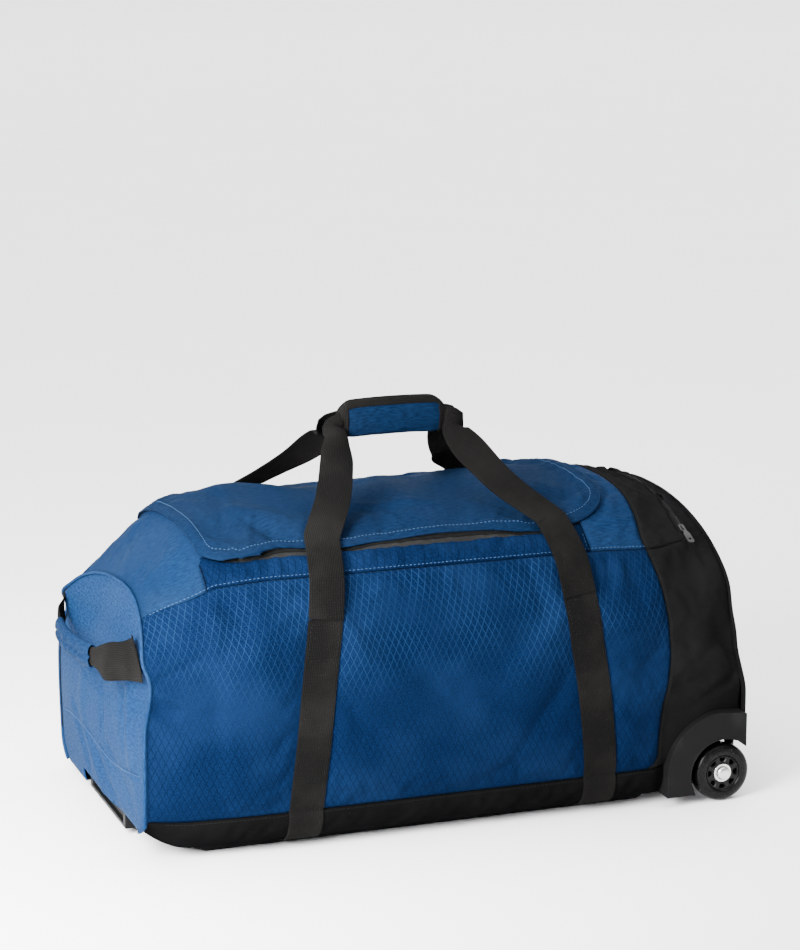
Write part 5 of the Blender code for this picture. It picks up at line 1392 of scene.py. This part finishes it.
def grips():
    """Blue wraps with a webbing binding round their ends and top."""
    for name, side in SIDES:
        body = f"{name}_loop"

        def patch(part, xs, vs, grow, material, slot, nodes=()):
            x, v = np.broadcast_arrays(np.linspace(*xs)[None, :], np.linspace(*vs)[:, None])
            quilt = np.sin(x * 95 + 2.4 * np.sin(v * 5)) * np.cos(v * 7 + x * 30)
            quilt = quilt + 0.6 * np.sin(x * 260 + v * 9)
            ridge = 0.0007 * quilt * np.cos(v * math.pi / 2) if material is PLAIN_SHADED else 0.0
            points = grip_surface(x, v, side, grow + ridge)
            faces = outward(points.reshape(-1, 3), grid_faces(*x.shape), (0, 0, GRIP_Z))
            weave = np.stack((x, arc_length(points, 0)[:, None] + 0 * x), axis=-1)
            return add_piece(f"{name}_grip_{part}", points, faces, material, slot, body, weave, nodes, 0.0018)

        def binding(part, xs, vs):
            piece = patch(part, xs, vs, 0.0012, WEBBING, "webbing_black")
            sheet(piece, "folded", (f"{name}_grip_wrap",))

        half = GRIP_HALF_LENGTH
        wrap = patch("wrap", (-half, half, 90), (-1, 1, 48), 0.0, PLAIN_SHADED, "plain_blue",
                     (f"{name}_grip_half",))
        binding("binding_left", (-half - 0.0006, -half + 0.0100, 8), (-1, 1, 34))
        binding("binding_right", (half - 0.0100, half + 0.0006, 8), (-1, 1, 34))
        binding("binding_top", (-half + 0.006, half - 0.006, 50), (0.42, 1, 14))


def end_on_seam(piece, side, start=0.118):
    """Slides the sewn end of a webbing along itself, so that it ends on the handle end's curved seam."""
    t = np.linspace(0.12, 0.46, 200)
    seam = skin(left_edge(t), t if side < 0 else 1 - t)
    reach = max(abs(v.co.y) for v in piece.data.vertices)
    for v in piece.data.vertices:
        past = abs(v.co.y) - start
        if past > 0:
            limit = float(np.interp(v.co.z, seam[:, 2], np.abs(seam[:, 1]))) - 0.0005
            v.co.y = side * (start + past * min(1.0, (limit - start) / (reach - start)))


def grab_handle():
    """End handle: webbing that bends where its sewn tabs end, and a quilted sleeve."""
    route = smooth_route(GRAB_ROUTE, 0.0035)
    near = smoothstep((np.abs(route[:, 1]) - 0.070) / 0.05)
    sewn_width = np.where(route[:, 1] < 0, GRAB_FRONT_WIDTH, GRAB_BACK_WIDTH)
    widths = lerp(GRAB_MIDDLE_WIDTH, sewn_width, near)
    tilt = 0.30 * np.sin((np.abs(route[:, 1]) - 0.06) * 24) * (route[:, 1] < 0)
    normals = np.stack((-np.ones(len(route)), np.zeros(len(route)), tilt * near), axis=-1)
    wave = 0.0022 * np.sin(np.abs(route[:, 1]) * 70) * near
    route = route + np.stack((-wave, np.zeros_like(wave), np.zeros_like(wave)), axis=-1)
    for name, side in SIDES:
        keep = side * route[:, 1] > 0.0
        piece = strap(f"grab_handle_{name}_webbing", route[keep], normals[keep], widths[keep], None,
                      (f"grab_handle_{name}_tab",), cup=0.0010, held="hung", rests_on=("left_end_panel",))
        end_on_seam(piece, side)
        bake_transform(piece)
        if side < 0:
            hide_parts("grab_handle_webbing")
    middle = route[np.abs(route[:, 1]) < SLEEVE_HALF_LENGTH]
    turn = np.linspace(0, math.tau, 40, endpoint=False)
    quilt = 1 + 0.10 * np.sin(middle[:, 1] * 210)[:, None] * np.abs(np.cos(turn))[None, :]
    deep = 0.0052 * np.cos(turn)[None, :] * quilt
    up = 0.0130 * np.sign(np.sin(turn)) * np.abs(np.sin(turn)) ** 0.75
    deep = deep * (1 - 0.45 * bump(up[None, :], 0.0018))
    rings = middle[:, None] + np.stack(np.broadcast_arrays(deep, 0.0, up[None, :]), axis=-1)
    weave = np.stack(np.broadcast_arrays(middle[:, None, 1], turn[None, :] * 0.008), axis=-1)
    sleeve = add_piece("grab_sleeve", rings, band_faces(len(middle), len(turn)), PLAIN, "plain_blue",
                       "grab_handle", weave, ("grab_handle_sleeve",), 0.0010)


# --- stitching ----------------------------------------------------------------------------------------


def box_stitch(end, around):
    """The square of stitches that holds one end of a carry loop."""
    t0, t1 = STRAP_SEWN_T - 0.0390, STRAP_SEWN_T - 0.0035
    inset = WEBBING_WIDTH / 2 - 0.0035
    runs = []
    for t in (t0, t1):
        x = end * curve_value(STRAP_X, t) + np.linspace(-inset, inset, 20)
        runs.append(seam_run(x, around(t) + 0 * x, 0.0024))
    t = np.linspace(t0, t1, 20)
    for offset in (-inset, inset):
        runs.append(seam_run(end * curve_value(STRAP_X, t) + offset, around(t), 0.0024))
    return runs


def end_seam_run():
    """The stitch line across the handle end, on its bulged surface."""
    y = np.linspace(-0.181, 0.181, 260)
    z = curve_value(END_SEAM, y)
    share = 1 - np.maximum(np.abs(y) / 0.2, np.abs(z - END_CENTRE_Z) / 0.141)
    rise = handle_end_bulge(z) * (1 - (1 - share) ** 3)
    line = np.stack((BAG_LEFT - HANDLE_END_OUT - rise + 0.0008, y, z), axis=-1)
    return line, np.broadcast_to((-1.0, 0.0, 0.0), (len(y), 3))


def stitching():
    """All rows of stitches, in three pieces: blue and black ones on the body, and the lid's."""
    blue, black = [end_seam_run()], []
    along_side = np.linspace(-0.338, 0.250, 400)
    for name, around in TURNS:
        blue.append(seam_run(along_side, around(side_seam(along_side) + 0.0036)))
        if name == "front":
            t = np.linspace(0.345, curve_value(LID_HEM, RIGHT_SEAM_X) - 0.014, 60)
            blue.append(seam_run(RIGHT_SEAM_X - 0.0032 + 0 * t, t))
        black.append(seam_run(along_side, around(BAND_T - 0.0034) + 0 * along_side))
        x = np.linspace(0.262, 0.345, 120)
        black.append(seam_run(x, around(side_seam(x) + 0.0034)))
        t = np.linspace(BAND_T + 0.020, 0.495, 400)
        black.append(seam_run(hood_seam(t) + 0.0034, around(t)))
        for end in (-1, 1):
            black += box_stitch(end, around)
    x, t = lid_outline(-0.0115, 700)
    stitches("blue_seam_stitches", blue, BLUE_THREAD, "plain_blue", "bag")
    stitches("black_seam_stitches", black, BLACK_THREAD, "black_fabric", "bag")
    stitches("lid_stitches", [seam_run(x, t, surface=lid_point)], BLUE_THREAD, "plain_blue", "lid")


# --- wheels and moulded parts ---------------------------------------------------------------------------


def wheels():
    """Both wheels: spokes, and a tyre, rim, boss and bearing turned from (radius, y) profiles."""
    half = WHEEL_WIDTH / 2
    inner = 0.0204
    tyre = round_profile([(inner, half * 0.86), (WHEEL_RADIUS - 0.0090, half * 0.99),
                          (WHEEL_RADIUS - 0.0015, half * 0.72), (WHEEL_RADIUS, 0.0),
                          (WHEEL_RADIUS - 0.0015, -half * 0.72), (WHEEL_RADIUS - 0.0090, -half * 0.99),
                          (inner, -half * 0.86)], 0.0045, 8)
    rim = round_profile([(0.0188, 0.0098), (inner, 0.0098), (inner, -0.0098), (0.0188, -0.0098)], 0.0007)
    boss = round_profile([(0.0112, 0.0099), (0.0134, 0.0092), (0.0134, -0.0092), (0.0112, -0.0099)], 0.0006)
    race = round_profile([(0.0080, 0.0096), (0.0109, 0.0096), (0.0109, -0.0096), (0.0080, -0.0096)], 0.0005)
    shield = round_profile([(0.0043, 0.0088), (0.0078, 0.0088), (0.0078, -0.0088), (0.0043, -0.0088)], 0.0003)
    for name, side in SIDES:
        body, centre = f"{name}_wheel", (WHEEL_X, side * WHEEL_Y, WHEEL_Z)
        turned(f"{name}_wheel_tyre", tyre, centre, TYRE, "tyre", body, (f"{name}_tyre",))
        turned(f"{name}_wheel_rim", rim, centre, HUB, "hub_plastic", body, (f"{name}_hub",))
        turned(f"{name}_wheel_boss", boss, centre, HUB, "hub_plastic", body, steps=64)
        turned(f"{name}_bearing_race", race, centre, STEEL, "steel", body, (f"{name}_wheel_bearing",), 64)
        turned(f"{name}_bearing_shield", shield, centre, STEEL, "steel", body, steps=48)
        spokes(f"{name}_wheel_spokes", centre, body)


def spokes(name, centre, body, count=8):
    """Ribs between the hub's boss and its rim, with chamfered edges and flared ends."""
    section = [(-0.0028, 0.0084), (-0.0021, 0.0094), (0.0021, 0.0094), (0.0028, 0.0084), (0.0028, -0.0084),
               (0.0021, -0.0094), (-0.0021, -0.0094), (-0.0028, -0.0084)]
    points, faces = [], []
    for k in range(count):
        angle = math.tau * (k + 0.5) / count
        out = np.array((math.cos(angle), 0, math.sin(angle)))
        across = np.array((-math.sin(angle), 0, math.cos(angle)))
        faces += closed_faces(3, len(section), len(points))
        for radius in (0.0128, 0.0160, 0.0192):
            flare = 1.0 + 0.5 * abs(radius - 0.0160) / 0.004
            points += [np.array(centre) + out * radius + across * a * flare + np.array((0, y, 0))
                       for a, y in section]
    piece = add_piece(name, np.array(points), faces, HUB, "hub_plastic", body)
    piece.data.set_sharp_from_angle(angle=math.radians(35))


def housings():
    """Moulded corners with rolled edges and a raised border round the wheel arch."""
    across, up = HOUSING_CREST_X - HOUSING_LEFT, HOUSING_TOP - HOUSING_SPRING_Z
    rounding = [(HOUSING_CREST_X - across * math.cos(a), HOUSING_SPRING_Z + up * math.sin(a))
                for a in np.linspace(0, math.pi / 2, 28)]
    arch_left = math.pi - math.asin((HOUSING_LOW - WHEEL_Z) / WELL_RADIUS)
    arch = [(WHEEL_X + WELL_RADIUS * math.cos(a), WHEEL_Z + WELL_RADIUS * math.sin(a))
            for a in np.linspace(math.radians(68), arch_left, 40)]
    outline = [(HOUSING_LEFT, HOUSING_LOW), *rounding, (HOUSING_RIGHT, HOUSING_RIGHT_TOP),
               (HOUSING_RIGHT, HOUSING_NOTCH), *arch]
    count = len(outline)
    wall_top, wall_low = HOUSING_TOP - 0.0030, HOUSING_LOW + 0.0010
    wall_outline = [(HOUSING_LEFT + 0.0040, wall_low), *((x, min(z, wall_top)) for x, z in rounding[6:]),
                    (WELL_WALL_RIGHT, wall_top), (WELL_WALL_RIGHT, wall_low)]
    for name, side in SIDES:
        points = np.array([(x, side * y, z) for y in (HOUSING_OUTER_Y, HOUSING_INNER_Y) for x, z in outline])
        faces = [tuple(range(count))]
        faces += [(k, count + k, count + (k + 1) % count, (k + 1) % count) for k in range(count)]
        if side < 0:
            faces = [tuple(reversed(f)) for f in faces]
        piece = add_piece(f"{name}_housing", points, faces, MOULDED, "moulded_plastic", "bag",
                          nodes=(f"{name}_wheel_housing",), solid=0.0024)
        piece.data.set_sharp_from_angle(angle=math.radians(30))
        rounded(piece, 0.0009, 3, 35)
        wall = np.array([(x, side * (HOUSING_INNER_Y + 0.0012), z) for x, z in wall_outline])
        well = add_piece(f"{name}_well_wall", wall, [tuple(range(len(wall)))], MOULDED, "moulded_plastic",
                         "bag", solid=0.0016, offset=0.0, smooth=False)
        rounded(well, 0.0004, angle=30)
        lip = np.array([(x, side * (HOUSING_OUTER_Y - 0.0006), z) for x, z in arch])
        tube(f"{name}_arch_lip", lip, 0.0011, MOULDED, "moulded_plastic", "bag", sides=8)


def skid_rails():
    """Two moulded rails under the base, with rounded edges and ramps at both ends."""
    section = [(-0.0070, True), (0.0070, True), (0.0055, False), (-0.0055, False)]
    cuts = ((RAIL_START, 0.0070), (RAIL_START + RAIL_RAMP, RAIL_LOW), (RAIL_END - 0.008, RAIL_LOW),
            (RAIL_END, 0.0040))
    for name, side in SIDES:
        points = np.array([(x, side * RAIL_Y + y, RAIL_TOP if top else low) for x, low in cuts
                           for y, top in section])
        rail = add_piece(f"{name}_rail", points, closed_faces(len(cuts), len(section)), MOULDED,
                         "moulded_plastic", "bag", nodes=(f"{name}_skid_rail",), smooth=False)
        rounded(rail, 0.0012, 3)


def carried_over():
    """Materials for the CAD nodes that stay in view."""
    for node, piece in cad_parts.items():
        if piece.hide_render:
            continue
        if "_tube_" in node:
            material = ALUMINIUM
        elif node.endswith(("axle", "bracket")) and not node.startswith("trolley"):
            material = STEEL
        elif node.startswith(("main_zip", "pocket_zip")):
            material = ZIP_METAL
        elif node == "trolley_button":
            material = HUB
        else:
            material = MOULDED
        piece.data.materials.clear()
        piece.data.materials.append(material)


# --- studio -------------------------------------------------------------------------------------------


FLOOR_RADIUS, FLOOR_CURVE, WALL_TOP = 18.0, 3.0, 9.0


def floor():
    """A pale floor that rises far out all round, so that it fills the view from every side."""
    profile = [(1.5, 0.0), (6.0, 0.0), (FLOOR_RADIUS, 0.0)]
    profile += [(FLOOR_RADIUS + FLOOR_CURVE * math.sin(a), FLOOR_CURVE - FLOOR_CURVE * math.cos(a))
                for a in np.linspace(0.1, math.pi / 2, 16)]
    profile += [(FLOOR_RADIUS + FLOOR_CURVE, WALL_TOP)]
    count = 96
    turn = np.linspace(0, math.tau, count, endpoint=False)
    points = np.array([(r * math.cos(a), r * math.sin(a), z) for r, z in profile for a in turn])
    faces = [tuple(reversed(f)) for f in band_faces(len(profile), count)] + [tuple(range(count))]
    mesh = bpy.data.meshes.new("sweep")
    mesh.from_pydata(points.tolist(), [], faces)
    mesh.shade_smooth()
    g = Graph("pale_sweep", 0.85)
    g.colour(g.mix(g.noise(g.place(), 3.0), (0.86, 0.86, 0.865), (0.90, 0.90, 0.905)))
    mesh.materials.append(g.material)
    put("sweep", mesh)


def lights():
    """A wide soft sun overhead, a square lamp at the handle end, and a faint sky."""
    sun = bpy.data.lights.new("overhead", "SUN")
    sun.energy = 9.0
    sun.angle = math.radians(84)
    put("overhead", sun).rotation_euler = (math.radians(-8), 0, 0)
    light = bpy.data.lights.new("key", "AREA")
    light.spread = math.radians(95)
    light.shape = "SQUARE"
    light.size = 0.8
    light.energy = 66
    key = put("key", light)
    key.location = (-1.25, -0.95, 0.90)
    key.rotation_euler = (Vector((-0.55, -0.05, 0.22)) - key.location).to_track_quat("-Z", "Y").to_euler()
    world = bpy.data.worlds.new("studio")
    world.use_nodes = True
    sky = world.node_tree.nodes["Background"]
    sky.inputs["Color"].default_value = (0.95, 0.97, 1.0, 1.0)
    sky.inputs["Strength"].default_value = 0.22
    bpy.context.scene.world = world


def viewpoint():
    """The photograph's camera, from the fitted perspective."""
    lens = bpy.data.cameras.new("camera")
    lens.lens = 111.3
    lens.sensor_width = 36.0
    camera = put("camera", lens)
    camera.location = (-1.1365, -3.1508, 1.1398)
    camera.rotation_euler = Vector((0.33247, 0.91646, -0.22274)).to_track_quat("-Z", "Y").to_euler()
    bpy.context.scene.camera = camera


floor()
lights()
viewpoint()
side_panels()
top_panels()
underside()
partition()
seam_tapes()
trolley_mouth()
ends()
piping()
lid()
main_zip()
pocket_zip()
lower_straps()
carry_loops()
grips()
grab_handle()
stitching()
wheels()
housings()
skid_rails()
carried_over()
